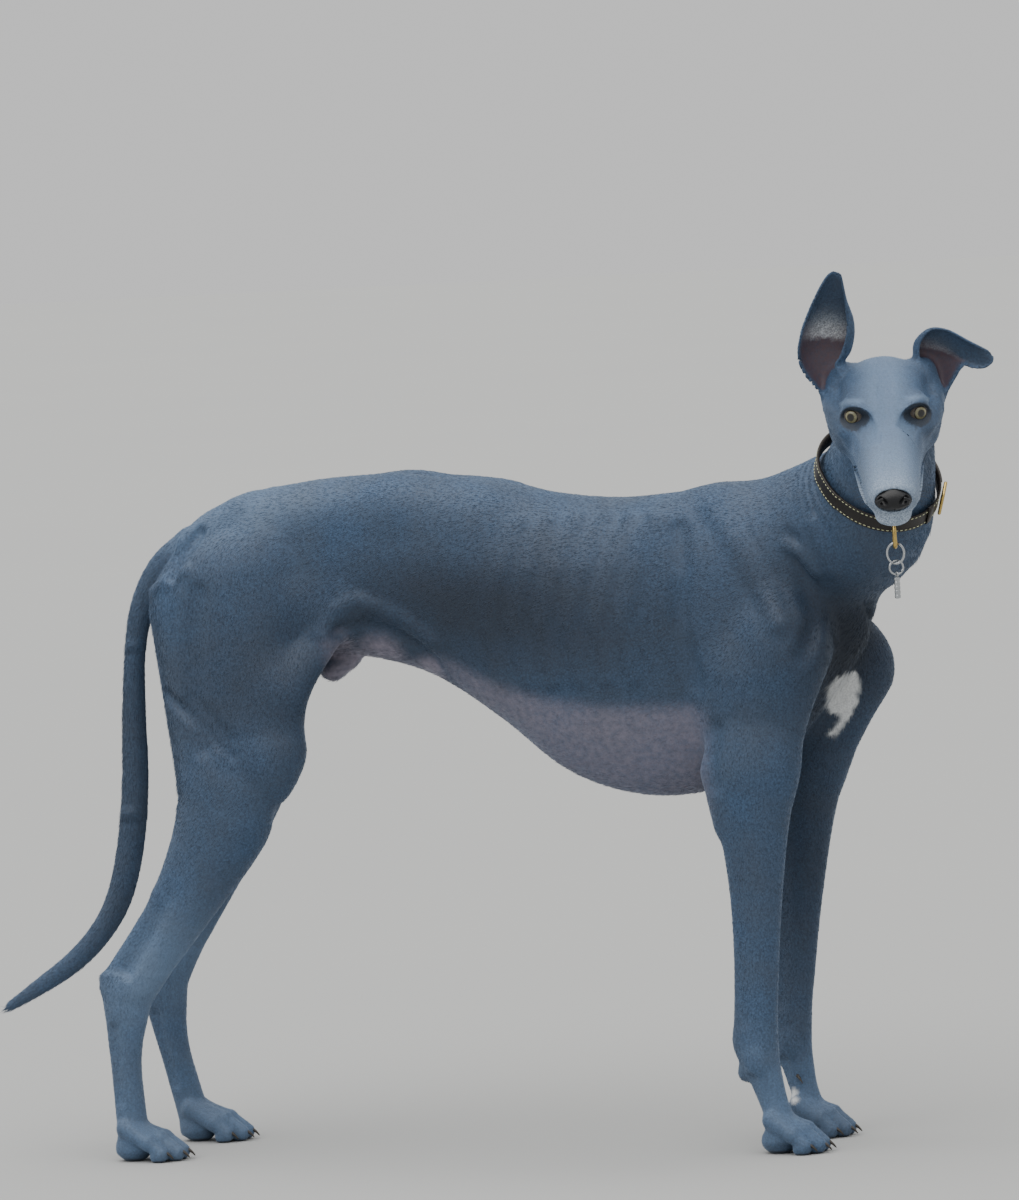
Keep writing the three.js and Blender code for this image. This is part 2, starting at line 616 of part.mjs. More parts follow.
// A cupped leaf: points along and across, thickened both ways and closed round its rim
function earSolid(rows, along, across) {
  const keys = rows.map((_, i) => i / (rows.length - 1));
  const curves = rows[0].map((_, k) => tableCurve(keys, rows.map((row) => row[k])));
  const sink = 0.09;
  const leaf = (u, v) => {
    const t = Math.max(u, 0);
    const value = curves.map((curve) => curve(t));
    const medial = (1 + Math.sin(v * Math.PI / 2)) / 2;
    const edge = mix(value.slice(0, 3), value.slice(3, 6), medial);
    const root = Math.min(u, 0) / sink;
    const hollow = 1 - v * v;
    const roll = earRoll * value[7] * hollow * Math.max(v, 0);
    return head.at([edge[0] - value[6] * hollow, (edge[1] + roll) * (1 + 0.12 * root), edge[2] + 14 * root]);
  };
  const points = [];
  const front = [];
  const back = [];
  for (let i = 0; i <= along; i += 1) {
    front.push([]);
    back.push([]);
    for (let j = 0; j <= across; j += 1) {
      const u = -sink + (1 + sink) * (i / along);
      const v = -1 + (2 * j) / across;
      const p = leaf(u, v);
      const du = sub(leaf(u + 0.01, v), leaf(u - 0.01, v));
      const dv = sub(leaf(u, Math.min(v + 0.02, 1)), leaf(u, Math.max(v - 0.02, -1)));
      let normal = unit(cross(du, dv));
      if (dot(normal, head.forward) < 0) normal = scale(normal, -1);
      const rim = 1 - 0.45 * Math.max(v * v, u ** 6);
      front[i].push(points.push(add(p, scale(normal, (earThickness / 2) * rim))) - 1);
      back[i].push(points.push(sub(p, scale(normal, (earThickness / 2) * rim))) - 1);
    }
  }
  const faces = [];
  const quad = (a, b, c, d) => faces.push([a, b, c], [a, c, d]);
  for (let i = 0; i < along; i += 1) {
    for (let j = 0; j < across; j += 1) {
      quad(front[i][j], front[i][j + 1], front[i + 1][j + 1], front[i + 1][j]);
      quad(back[i][j], back[i + 1][j], back[i + 1][j + 1], back[i][j + 1]);
    }
    quad(front[i][0], front[i + 1][0], back[i + 1][0], back[i][0]);
    quad(front[i][across], back[i][across], back[i + 1][across], front[i + 1][across]);
  }
  for (let j = 0; j < across; j += 1) {
    quad(front[0][j], back[0][j], back[0][j + 1], front[0][j + 1]);
    quad(front[along][j], front[along][j + 1], back[along][j + 1], back[along][j]);
  }
  const solid = solidFrom(points, faces);
  return solid.volume() > 0 ? solid : solidFrom(points, faces.map(([a, b, c]) => [a, c, b]));
}

// Materials
const coatColour = 0x525c6b;
const materials = {
  coat: () => new THREE.MeshStandardMaterial({ color: coatColour, roughness: 0.7, metalness: 0 }),
  nose: () => new THREE.MeshStandardMaterial({ color: 0x16181c, roughness: 0.4, metalness: 0 }),
  eye: () => new THREE.MeshStandardMaterial({ color: 0x6d5a3a, roughness: 0.1, metalness: 0 }),
  claw: () => new THREE.MeshStandardMaterial({ color: 0x23221f, roughness: 0.5, metalness: 0 }),
  leather: () => new THREE.MeshStandardMaterial({ color: 0x1d1a18, roughness: 0.6, metalness: 0 }),
  brass: () => new THREE.MeshStandardMaterial({ color: 0xb9923f, roughness: 0.3, metalness: 1 }),
  steel: () => new THREE.MeshStandardMaterial({ color: 0xc8ccd0, roughness: 0.25, metalness: 1 }),
};

const greyhound = new THREE.Group();

// Where two folds of a surface share a point, each one is drawn a little towards its own neighbours
const foldStep = 0.03;

function partFolds(points, faces) {
  const around = new Map();
  for (let i = 0; i < faces.length; i += 3) {
    for (let k = 0; k < 3; k += 1) {
      const here = faces[i + k];
      const entry = around.get(here) ?? [0, 0, 0, 0];
      const other = faces[i + ((k + 1) % 3)];
      for (let c = 0; c < 3; c += 1) entry[c] += points[other * 3 + c];
      entry[3] += 1;
      around.set(here, entry);
    }
  }
  const places = new Map();
  for (let i = 0; i < points.length / 3; i += 1) {
    const key = [0, 1, 2].map((c) => Math.round(points[i * 3 + c] * 100)).join();
    places.set(key, [...(places.get(key) ?? []), i]);
  }
  for (const same of places.values()) {
    for (const i of same.length > 1 ? same : []) {
      const [x, y, z, n] = around.get(i);
      const place = [points[i * 3], points[i * 3 + 1], points[i * 3 + 2]];
      const step = scale(unit(sub([x / n, y / n, z / n], place)), foldStep);
      for (let c = 0; c < 3; c += 1) points[i * 3 + c] += step[c];
    }
  }
}

function addNode(name, solid, material) {
  const { vertProperties, triVerts } = solid.simplify(simplifyBy).getMesh();
  partFolds(vertProperties, triVerts);
  const geometry = new THREE.BufferGeometry();
  geometry.setAttribute('position', new THREE.BufferAttribute(Float32Array.from(vertProperties), 3));
  geometry.setIndex(new THREE.BufferAttribute(Uint32Array.from(triVerts), 1));
  geometry.computeVertexNormals();
  const mesh = new THREE.Mesh(geometry, material);
  mesh.name = name;
  greyhound.add(mesh);
}

const sideOf = { right: -1, left: 1 };
const coat = () => materials.coat();

// Body nodes
function buildTorso() {
  let solid = netSurface(fleshForms, world, [-425, -140, 376], [435, 140, 800], [44, 22, 24]);
  solid = inside(solid, [flip(neckFoot)]);
  for (const s of [-1, 1]) {
    solid = outside(solid, foreRegion(s));
    solid = outside(solid, hindRegion(s));
  }
  addNode('torso', largestBody(outside(solid, tailRegion)), coat());
}

function buildNeck() {
  const solid = netSurface(fleshForms, world, [250, -225, 530], [570, 115, 905], [24, 23, 23]);
  addNode('neck', largestBody(outside(inside(solid, [neckFoot]), headRegion)), coat());
}

function buildTail() {
  const cuts = [plane([0, 0, 490], [0, 0, 1]), plane([0, 0, 300], [0, 0, 1])];
  const root = netSurface(fleshForms, world, [-500, -40, 470], [-380, 40, 710], [12.5, 10.5, 23]);
  addNode('tail_root', largestBody(inside(root, [...tailRegion, flip(cuts[0])])), coat());
  const middle = netSurface(fleshForms, world, [-520, -30, 280], [-425, 30, 510], [11, 10, 22]);
  addNode('tail_middle', largestBody(inside(middle, [cuts[0], flip(cuts[1])])), coat());
  const tip = netSurface(fleshForms, world, [-652, -26, 150], [-455, 26, 320], [16, 9.5, 13.5]);
  addNode('tail_tip', largestBody(inside(tip, [cuts[1]])), coat());
}

function buildHindLeg(side) {
  const leg = hindLegs[side];
  const y = [-140, 0].map((edge) => (leg.s < 0 ? edge : -edge)).sort((a, b) => a - b);
  const thigh = netSurface(fleshForms, world, [-440, y[0], 330], [-180, y[1], 680], [27, 20, 29]);
  addNode(`thigh_${side}`, largestBody(inside(thigh, [...hindRegion(leg.s), kneeCut(leg)])), coat());
  const shank = netSurface(fleshForms, shankFrame(leg), [-45, -45, -60], [252, 48, 105], [26, 15.5, 17.5]);
  addNode(`lower_leg_${side}`, largestBody(inside(shank, [flip(kneeCut(leg)), hockCut(leg)])), coat());
  const cannon = netSurface(fleshForms, cannonFrame(leg), [pawTop - 18, -30, -52], [225, 30, 62], [22, 11.5, 13]);
  const pawCut = plane([0, 0, pawTop], [0, 0, 1]);
  addNode(`hind_pastern_${side}`, largestBody(inside(cannon, [flip(hockCut(leg)), flip(pawCut)])), coat());
  buildPaw(`hindpaw_${side}`, hindPaw(leg), pawCut);
}

function buildForeLeg(side) {
  const leg = foreLegs[side];
  const whole = netSurface(fleshForms, foreFrame(leg), [pawTop - 18, -70, -160], [580, 66, 140], [28, 16, 17]);
  const pawCut = plane([0, 0, pawTop], [0, 0, 1]);
  addNode(`foreleg_${side}`, largestBody(inside(whole, [...foreRegion(leg.s), flip(pawCut)])), coat());
  buildPaw(`forepaw_${side}`, forePaw(leg), pawCut);
  buildDewclaw(side, leg);
}

// A paw, then its claws set on the toe tips
const pawCells = [11.2, 7.4, 9.4];

function buildPaw(name, [x, y, stretch], pawCut) {
  const low = [x - 44, y - 42, -12];
  const high = [x + 74, y + 42, pawTop + 14];
  const solid = netSurface(fleshForms, world, low, high, pawCells);
  addNode(name, largestBody(inside(solid, [pawCut]).trimByPlane([0, 0, 1], 0)), coat());
  const grown = netSurface(fleshForms, world, low, high, pawCells, growth);
  toes.forEach((toe, i) => {
    const { tip } = toePoints(x, y, toe, stretch);
    const claw = clawSolid([tip[0] + 3, tip[1], 11.2], clawLength);
    addNode(`claw_${name}_${i + 1}`, largestBody(claw.subtract(grown)), materials.claw());
  });
}

// The small claw on the inner side of the foreleg above the paw
function buildDewclaw(side, leg) {
  const frame = foreFrame(leg);
  const box = [[40, -40, -40], [90, 40, 40]];
  const grown = netSurface(fleshForms, frame, ...box, [9, 7, 7], growth);
  const claw = clawSolid(frame.at([70, 15.5 * leg.s, 10]), clawLength * 0.9);
  addNode(`dewclaw_${side}`, largestBody(claw.subtract(grown)), materials.claw());
}

// A blunt bent claw that points forward and down
const clawRadius = 3.3;
const clawDrop = 7.4;

function clawSolid(root, reach) {
  const rings = 3;
  const sides = 5;
  const points = [];
  const faces = [];
  for (let i = 0; i < rings; i += 1) {
    const t = i / (rings - 1);
    const radius = clawRadius * (1 - 0.7 * t);
    for (let j = 0; j < sides; j += 1) {
      const a = (2 * Math.PI * j) / sides;
      const lift = radius * Math.sin(a) - clawDrop * t * t;
      points.push([root[0] + reach * t, root[1] + radius * 0.8 * Math.cos(a), root[2] + lift]);
      const next = (j + 1) % sides;
      if (i > 0) {
        const [p, q] = [(i - 1) * sides + j, (i - 1) * sides + next];
        faces.push([p, q, q + sides], [p, q + sides, p + sides]);
      }
    }
  }
  for (let j = 1; j < sides - 1; j += 1) {
    faces.push([0, j + 1, j]);
    const end = (rings - 1) * sides;
    faces.push([end, end + j, end + j + 1]);
  }
  const solid = solidFrom(points, faces);
  return solid.volume() > 0 ? solid : solidFrom(points, faces.map(([a, b, c]) => [a, c, b]));
}

const placed = (geometry, frame) => solidOf(geometry.applyMatrix4(
  new THREE.Matrix4().makeBasis(
    new THREE.Vector3(...frame.forward), new THREE.Vector3(...frame.left), new THREE.Vector3(...frame.up),
  ).setPosition(...frame.origin),
));

// Head, with eyes under lids, nose, nostrils and the line of the mouth
function eyeFrame(s) {
  const gaze = head.dir([eyeGaze[0], eyeGaze[1] * s, eyeGaze[2]]);
  return new Frame(head.at([eyePlace[0], eyePlace[1] * s, eyePlace[2]]), gaze, head.up);
}

function buildHead() {
  let solid = netSurface(fleshForms, head, [-128, -78, -86], [128, 78, 52], [11, 9, 9]);
  solid = inside(solid, headRegion);
  const noseBox = [[96, -26, -56], [132, 26, -16]];
  const noseCells = [5.4, 5, 5];
  const nose = netSurface(noseForms(), head, ...noseBox, noseCells);
  const noseGrown = netSurface(noseForms(), head, ...noseBox, noseCells, growth);
  const noseBack = plane(head.at([108, 0, 0]), scale(head.forward, -1));
  addNode('nose', largestBody(inside(nose, [noseBack])), materials.nose());
  solid = solid.subtract(noseGrown);
  for (const [side, s] of Object.entries(sideOf)) {
    const frame = eyeFrame(s);
    const ball = placed(new THREE.SphereGeometry(eyeRadius, 12, 8), frame);
    addNode(`eye_${side}`, ball, materials.eye());
    solid = solid.subtract(placed(new THREE.SphereGeometry(eyeRadius + growth + 0.3, 12, 8), frame));
    const opening = new THREE.CylinderGeometry(24, 0.6, 28, 14);
    opening.translate(0, 14, 0).rotateZ(-Math.PI / 2).scale(1, 0.86, 0.6);
    solid = solid.subtract(placed(opening, frame));
  }
  solid = solid.subtract(mouthRibbon());
  addNode('head', largestBody(solid), coat());
}

// The closed mouth: a thin ribbon let into the muzzle, round the front and back along both sides
const mouthWidth = 1.5;
const mouthDepth = 4;

function mouthRibbon() {
  const steps = 11;
  const headOnly = fieldOf(headForms(), [-1e4, -1e4, -1e4], [1e4, 1e4, 1e4]);
  const points = [];
  for (let i = -steps; i <= steps; i += 1) {
    const t = i / steps;
    const turn = clamp(Math.abs(t) / 0.4, 0, 1) * (Math.PI / 2) * Math.sign(t);
    const back = clamp((Math.abs(t) - 0.4) / 0.6, 0, 1);
    const middle = [96 - 76 * back, 0, -51 - 1.5 * Math.cos(turn) + 7 * back * back];
    const out = [Math.cos(turn), Math.sin(turn), 0];
    let low = 0;
    let high = 60;
    while (high - low > 0.05) {
      const reach = (low + high) / 2;
      if (headOnly(head.at(add(middle, scale(out, reach)))) < 0) low = reach;
      else high = reach;
    }
    const half = (mouthWidth / 2) * (1 - 0.7 * back);
    const depth = mouthDepth * (1 - 0.6 * back);
    for (const [reach, lift] of [[-depth, -half], [3, -half], [3, half], [-depth, half]]) {
      points.push(head.at(add(add(middle, scale(out, low + reach)), [0, 0, lift])));
    }
  }
  return ribbon(points, 4);
}

// Joins rings of corners into a closed strip
function ribbon(points, corners, loop = false) {
  const rings = points.length / corners;
  const faces = [];
  for (let i = 0; i < (loop ? rings : rings - 1); i += 1) {
    const here = i * corners;
    const next = ((i + 1) % rings) * corners;
    for (let j = 0; j < corners; j += 1) {
      const k = (j + 1) % corners;
      faces.push([here + j, next + j, next + k], [here + j, next + k, here + k]);
    }
  }
  if (!loop) {
    const end = (rings - 1) * corners;
    for (let j = 1; j < corners - 1; j += 1) faces.push([0, j, j + 1], [end, end + j + 1, end + j]);
  }
  const solid = solidFrom(points, faces);
  return solid.volume() > 0 ? solid : solidFrom(points, faces.map(([a, b, c]) => [a, c, b]));
}

function buildEars() {
  const grown = netSurface(fleshForms, head, [-128, -78, -60], [0, 78, 52], [11, 9, 9], growth);
  for (const [side, rows] of Object.entries({ right: rightEarRows, left: leftEarRows })) {
    addNode(`ear_${side}`, largestBody(earSolid(rows, 9, 7).subtract(grown)), coat());
  }
}

// Collar: a strap round the neck that follows its surface, thicker where two layers lie over the nape
const collar = new Frame([450, -59, 738], [0.373, -0.539, 0.755]);
const collarClear = 1.4;
const throatAngle = -Math.PI / 2;
const buckleAngle = -0.56;
const lapAngles = [-0.35, 3.75];
const neckOnly = fieldOf([...neckForms(), ...torsoForms()], [-1e4, -1e4, -1e4], [1e4, 1e4, 1e4]);

function collarReach(angle, along) {
  const out = collar.dir([0, Math.cos(angle), Math.sin(angle)]);
  const from = collar.at([along, 0, 0]);
  let low = 20;
  let high = 140;
  while (high - low > 0.05) {
    const reach = (low + high) / 2;
    if (neckOnly(add(from, scale(out, reach))) < 0) low = reach;
    else high = reach;
  }
  return low;
}

function collarPoint(angle, along, away) {
  const reach = Math.max(collarReach(angle, -collarWidth / 2), collarReach(angle, collarWidth / 2)) + away;
  return collar.at([along, reach * Math.cos(angle), reach * Math.sin(angle)]);
}

function buildCollar() {
  const steps = 40;
  const half = collarWidth / 2;
  const points = [];
  for (let i = 0; i < steps; i += 1) {
    const angle = throatAngle + (2 * Math.PI * i) / steps;
    const lapped = angle > lapAngles[0] && angle < lapAngles[1];
    const outer = collarClear + (lapped ? collarThickness : collarThickness - 1.2);
    points.push(collarPoint(angle, -half, collarClear), collarPoint(angle, -half, outer));
    points.push(collarPoint(angle, half, outer), collarPoint(angle, half, collarClear));
  }
  addNode('collar', ribbon(points, 4, true), materials.leather());
}

// The buckle: a brass frame over the strap with its prong
const buckleSize = [27, 24];
const buckleWire = 3;

function buildBuckle() {
  const [tall, wide] = buckleSize;
  const middle = collarPoint(buckleAngle, 0, collarClear + collarThickness + buckleWire / 2 + 0.6);
  const before = collarPoint(buckleAngle - 0.15, 0, collarClear);
  const after = collarPoint(buckleAngle + 0.15, 0, collarClear);
  const frame = new Frame(middle, sub(after, before), collar.forward);
  const bar = (size, x, z) => new THREE.BoxGeometry(...size).translate(x, 0, z);
  const bars = [
    bar([wide, buckleWire, buckleWire], 0, tall / 2), bar([wide, buckleWire, buckleWire], 0, -tall / 2),
    bar([buckleWire, buckleWire, tall], wide / 2, 0), bar([buckleWire, buckleWire, tall], -wide / 2, 0),
    bar([wide + buckleWire, 1.6, 2.6], 0, 0),
  ];
  addNode('buckle', wasm.Manifold.union(bars.map((geometry) => placed(geometry, frame))), materials.brass());
}

// What hangs at the throat, linked one through the next: half width, half height, wire, turn and drop
const pendants = [
  { name: 'brass_loop', half: [7, 11.6], wire: 2, turn: Math.PI / 2, drop: 9.4, away: 8.6, material: 'brass' },
  { name: 'ring_oval', half: [9.6, 11.2], wire: 1.5, turn: -0.35, drop: 28.2, away: 8.6, material: 'steel' },
  { name: 'ring_small', half: [8.2, 7.4], wire: 1.3, turn: 0.42, drop: 43.5, away: 8.6, material: 'steel' },
];
const tagSize = [3.3, 24];
const tagHang = 2.4;
const ringBands = [0.1, 0.3, 0.5, 0.7, 0.9];
const outward = unit([0.342, -0.94, 0]);

function pendantFrame(drop, away, turn) {
  const top = add(collarPoint(throatAngle, 0, collarClear + collarThickness), scale(outward, away));
  return new Frame(sub(top, [0, 0, drop]), add(
    scale(outward, Math.cos(turn)), scale(cross([0, 0, 1], outward), Math.sin(turn)),
  ));
}

function buildPendants() {
  for (const { name, half, wire, turn, drop, away, material } of pendants) {
    const path = new THREE.EllipseCurve(0, 0, half[0], half[1]);
    const points = path.getPoints(22).slice(0, -1).map((p) => new THREE.Vector3(0, p.x, p.y));
    const ring = new THREE.TubeGeometry(new THREE.CatmullRomCurve3(points, true), 16, wire, 5, true);
    addNode(name, placed(ring, pendantFrame(drop, away, turn)), materials[material]());
  }
  const last = pendants[2];
  const [radius, tall] = tagSize;
  const eye = new THREE.TorusGeometry(2.7, 0.9, 5, 10);
  const outline = [new THREE.Vector2(0, -tall - tagHang)];
  for (const band of ringBands) {
    const z = -tall - tagHang + (tall - 0.4) * band;
    for (const [dz, r] of [[-2.2, radius - 0.5], [-1.4, radius], [1.4, radius], [2.2, radius - 0.5]]) {
      outline.push(new THREE.Vector2(r, z + dz));
    }
  }
  outline.push(new THREE.Vector2(0, -tagHang - 0.2));
  const barrel = new THREE.LatheGeometry(outline, 7).rotateX(Math.PI / 2);
  const frame = pendantFrame(last.drop + last.half[1], last.away, last.turn);
  addNode('tag', placed(eye.rotateX(Math.PI / 2), frame).add(placed(barrel, frame)), materials.steel());
}

buildTorso();
buildNeck();
buildHead();
buildEars();
buildTail();
for (const side of Object.keys(sideOf)) {
  buildForeLeg(side);
  buildHindLeg(side);
}
buildCollar();
buildBuckle();
buildPendants();

// The origin lies on the floor under the middle of the whole model
const middle = new THREE.Box3().setFromObject(greyhound).getCenter(new THREE.Vector3());
for (const mesh of greyhound.children) mesh.position.set(-middle.x, -middle.y, 0);

export default greyhound;
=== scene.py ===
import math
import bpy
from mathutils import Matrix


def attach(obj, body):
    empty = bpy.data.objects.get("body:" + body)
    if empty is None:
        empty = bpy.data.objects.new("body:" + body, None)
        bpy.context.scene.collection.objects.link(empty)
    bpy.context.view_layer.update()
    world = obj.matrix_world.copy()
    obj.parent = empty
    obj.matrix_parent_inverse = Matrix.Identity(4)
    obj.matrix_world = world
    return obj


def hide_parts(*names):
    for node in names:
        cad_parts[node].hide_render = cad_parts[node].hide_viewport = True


bl_info = {
    "name": "Greyhound",
    "version": (1, 0, 0),
    "blender": (4, 5, 0),
    "location": "3D View > Sidebar > Greyhound",
    "description": "Builds the skin, short coat, eyes, claws and collar of a standing greyhound over its packed solids",
    "category": "Object",
}

import bmesh
import bpy
import numpy as np
from mathutils import Matrix, Vector
from mathutils.bvhtree import BVHTree

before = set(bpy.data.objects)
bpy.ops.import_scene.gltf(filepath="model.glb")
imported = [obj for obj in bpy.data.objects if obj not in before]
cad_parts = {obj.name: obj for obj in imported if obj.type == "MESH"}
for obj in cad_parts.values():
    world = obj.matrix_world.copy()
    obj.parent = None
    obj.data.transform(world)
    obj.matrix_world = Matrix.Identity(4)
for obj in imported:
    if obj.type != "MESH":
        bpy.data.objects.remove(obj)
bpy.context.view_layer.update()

# The body is worked out in millimetres in its own frame: +X to the chest, +Y to its left, +Z up.
# This is how far that frame is moved so that the origin lies under the middle of the model.
BODY_SHIFT = np.array([6.708, 89.446, 0.0])
MM = 0.001

EYE_RADIUS = 11.6
EYE_PLACE = (-8.0, 33.0, -2.0)
EYE_GAZE = (0.86, 0.4, 0.28)
SIDES = {"right": -1, "left": 1}


def unit(v):
    v = np.asarray(v, float)
    return v / np.linalg.norm(v)


def smooth(edge0, edge1, x):
    t = np.clip((x - edge0) / (edge1 - edge0), 0.0, 1.0)
    return t * t * (3 - 2 * t)


def table_curve(x, xs, ys):
    """A smooth curve through a table of values."""
    xs, ys = np.asarray(xs, float), np.asarray(ys, float)
    h = np.diff(xs)
    slope = np.diff(ys) / h
    m = np.empty_like(ys)
    m[0], m[-1] = slope[0], slope[-1]
    m[1:-1] = (slope[:-1] * h[1:] + slope[1:] * h[:-1]) / (h[1:] + h[:-1])
    x = np.clip(x, xs[0], xs[-1])
    i = np.clip(np.searchsorted(xs, x, side="right") - 1, 0, len(h) - 1)
    t = (x - xs[i]) / h[i]
    t2, t3 = t * t, t * t * t
    return ((2 * t3 - 3 * t2 + 1) * ys[i] + (t3 - 2 * t2 + t) * h[i] * m[i]
            + (-2 * t3 + 3 * t2) * ys[i + 1] + (t3 - t2) * h[i] * m[i + 1])


class Axes:
    """A local frame with forward, left and up lines."""

    def __init__(self, origin, forward=(1, 0, 0), up=(0, 0, 1)):
        self.origin = np.array(origin, float)
        forward = unit(forward)
        left = unit(np.cross(up, forward))
        self.rows = np.array([forward, left, np.cross(forward, left)])

    def at(self, p):
        return self.origin + np.asarray(p, float) @ self.rows

    def dir(self, p):
        return np.asarray(p, float) @ self.rows

    def local(self, points):
        return (points - self.origin) @ self.rows.T


WORLD = Axes((0, 0, 0))


# Forms: each gives a rough distance in millimetres, a blend width, and the box it acts in
class Form:
    def __init__(self, distance, low, high, blend, carve=False):
        self.distance = distance
        self.low = np.asarray(low, float) - blend - 4
        self.high = np.asarray(high, float) + blend + 4
        self.blend = blend
        self.carve = carve


def limb(start, end, start_radius, end_radius, blend, flat=1.0, side=(0, 1, 0)):
    a, b, side = np.asarray(start, float), np.asarray(end, float), unit(side)

    def squash(v):
        return v + (1 / flat - 1) * (v @ side)[..., None] * side

    line = squash((b - a)[None])[0]
    size = math.sqrt(line @ line)
    slope = (start_radius - end_radius) / size
    lean = slope / size / math.sqrt(max(1e-6, 1 - slope * slope))

    def distance(points):
        p = squash(points - a)
        t = np.clip(p @ line / size ** 2, 0, 1)
        t = np.clip(t + np.linalg.norm(p - t[:, None] * line, axis=1) * lean, 0, 1)
        q = p - t[:, None] * line
        h = np.linalg.norm(q, axis=1) + 1e-9
        d = h - (start_radius + (end_radius - start_radius) * t)
        if flat != 1.0:
            d = d / np.sqrt(1 + (1 / flat ** 2 - 1) * (q @ side / h) ** 2)
        return d

    r = max(start_radius, end_radius)
    return Form(distance, np.minimum(a, b) - r, np.maximum(a, b) + r, blend)


def egg(center, radii, blend, axes=WORLD):
    center, radii = np.asarray(center, float), np.asarray(radii, float)

    def distance(points):
        p = (points - center) @ axes.rows.T / radii
        k = np.linalg.norm(p, axis=1) + 1e-9
        return k * (k - 1) / (np.linalg.norm(p / radii, axis=1) + 1e-9)

    return Form(distance, center - radii.max(), center + radii.max(), blend)


def sectioned(rows, blend, axes=WORLD):
    """Rows of place, top, bottom, half width, height of the widest line and exponent."""
    rows = np.asarray(rows, float)

    def distance(points):
        q = axes.local(points)
        top, bottom, wide, middle, power = (table_curve(q[:, 0], rows[:, 0], rows[:, k]) for k in range(1, 6))
        z = q[:, 2] - middle
        tall = np.where(z > 0, top - middle, middle - bottom)
        u, v = np.abs(q[:, 1]) / wide + 1e-6, np.abs(z) / tall + 1e-6
        un, vn = u ** power, v ** power
        r = (un + vn) ** (1 / power)
        d = (r - 1) / (np.sqrt((un / u / wide) ** 2 + (vn / v / tall) ** 2) * r ** (1 - power))
        over = np.maximum(rows[0, 0] - q[:, 0], q[:, 0] - rows[-1, 0])
        return np.where(over > 0, np.hypot(np.maximum(d, 0), over), d)

    wide = rows[:, 3].max()
    corners = np.array([axes.at((x, y, z)) for x in (rows[0, 0], rows[-1, 0]) for y in (-wide, wide)
                        for z in (rows[:, 2].min(), rows[:, 1].max())])
    return Form(distance, corners.min(0), corners.max(0), blend)


def bent_tube(rows, blend, flat, steps=4):
    """A tube along a spline through rows of x, y, z and radius, narrower across."""
    rows = np.asarray(rows, float)
    keys = np.arange(len(rows), dtype=float)
    fine = np.linspace(0, len(rows) - 1, (len(rows) - 1) * steps + 1)
    path = np.stack([table_curve(fine, keys, rows[:, k]) for k in range(3)], 1)
    radius = table_curve(fine, keys, rows[:, 3])
    along = np.gradient(path, axis=0)
    along /= np.linalg.norm(along, axis=1)[:, None]
    across = np.cross((0, 0, 1), along) + np.array([0, 0.15, 0])
    across -= along * (across * along).sum(1)[:, None]
    across /= np.linalg.norm(across, axis=1)[:, None]

    def distance(points):
        best, place = np.full(len(points), 1e18), np.zeros(len(points))
        for i in range(len(path) - 1):
            d = path[i + 1] - path[i]
            t = np.clip((points - path[i]) @ d / (d @ d), 0, 1)
            q = points - path[i] - t[:, None] * d
            r = (q * q).sum(1)
            near = r < best
            best, place = np.where(near, r, best), np.where(near, i + t, place)
        i = np.minimum(place.astype(int), len(path) - 2)
        f = (place - i)[:, None]
        center, ax, side = (k[i] * (1 - f) + k[i + 1] * f for k in (path, along, across))
        r = radius[i] * (1 - f[:, 0]) + radius[i + 1] * f[:, 0]
        q = points - center
        a, c = (q * side).sum(1) / (r * flat), (q * ax).sum(1) / r
        b2 = np.maximum((q * q).sum(1) / r ** 2 - (a * flat) ** 2 - c * c, 0)
        rho = np.sqrt(a * a + b2 + c * c) + 1e-9
        return (rho - 1) / np.maximum(np.sqrt((a / flat) ** 2 + b2 + c * c) / rho / r, 1e-9)

    return Form(distance, path.min(0) - radius.max(), path.max(0) + radius.max(), blend)


def carved(form):
    form.carve = True
    return form


def smooth_min(a, b, k):
    h = np.maximum(k - np.abs(a - b), 0) / k
    return np.minimum(a, b) - h * h * k * 0.25


def join(value, form, d):
    return -smooth_min(-value, d, form.blend) if form.carve else smooth_min(value, d, form.blend)


def field_at(points, forms, floor=True):
    """The joined forms at loose points, each form worked out only where it acts."""
    value = np.full(len(points), 60.0)
    for form in forms:
        near = np.flatnonzero(((points > form.low - 12) & (points < form.high + 12)).all(1))
        if len(near):
            value[near] = join(value[near], form, form.distance(points[near]))
    return np.maximum(value, -points[:, 2]) if floor else value


# Body forms
TORSO_ROWS = [
    (-404, 655, 624, 14, 642, 2.0), (-386, 683, 600, 32, 644, 2.0), (-358, 708, 575, 53, 650, 2.1),
    (-314, 730, 560, 68, 660, 2.1), (-240, 751, 561, 70, 667, 2.2), (-167, 757, 555, 69, 667, 2.3),
    (-84, 755, 530, 75, 650, 2.3), (-9, 748, 480, 85, 625, 2.2), (62, 731, 422, 91, 600, 2.15),
    (138, 723, 394, 92, 585, 2.1), (205, 726, 392, 87, 580, 2.1), (262, 727, 406, 77, 585, 2.1),
    (318, 716, 440, 68, 592, 2.1), (362, 700, 486, 55, 600, 2.0), (392, 664, 526, 38, 600, 2.0),
    (410, 634, 560, 20, 598, 2.0), (419, 610, 584, 8, 598, 2.0),
]


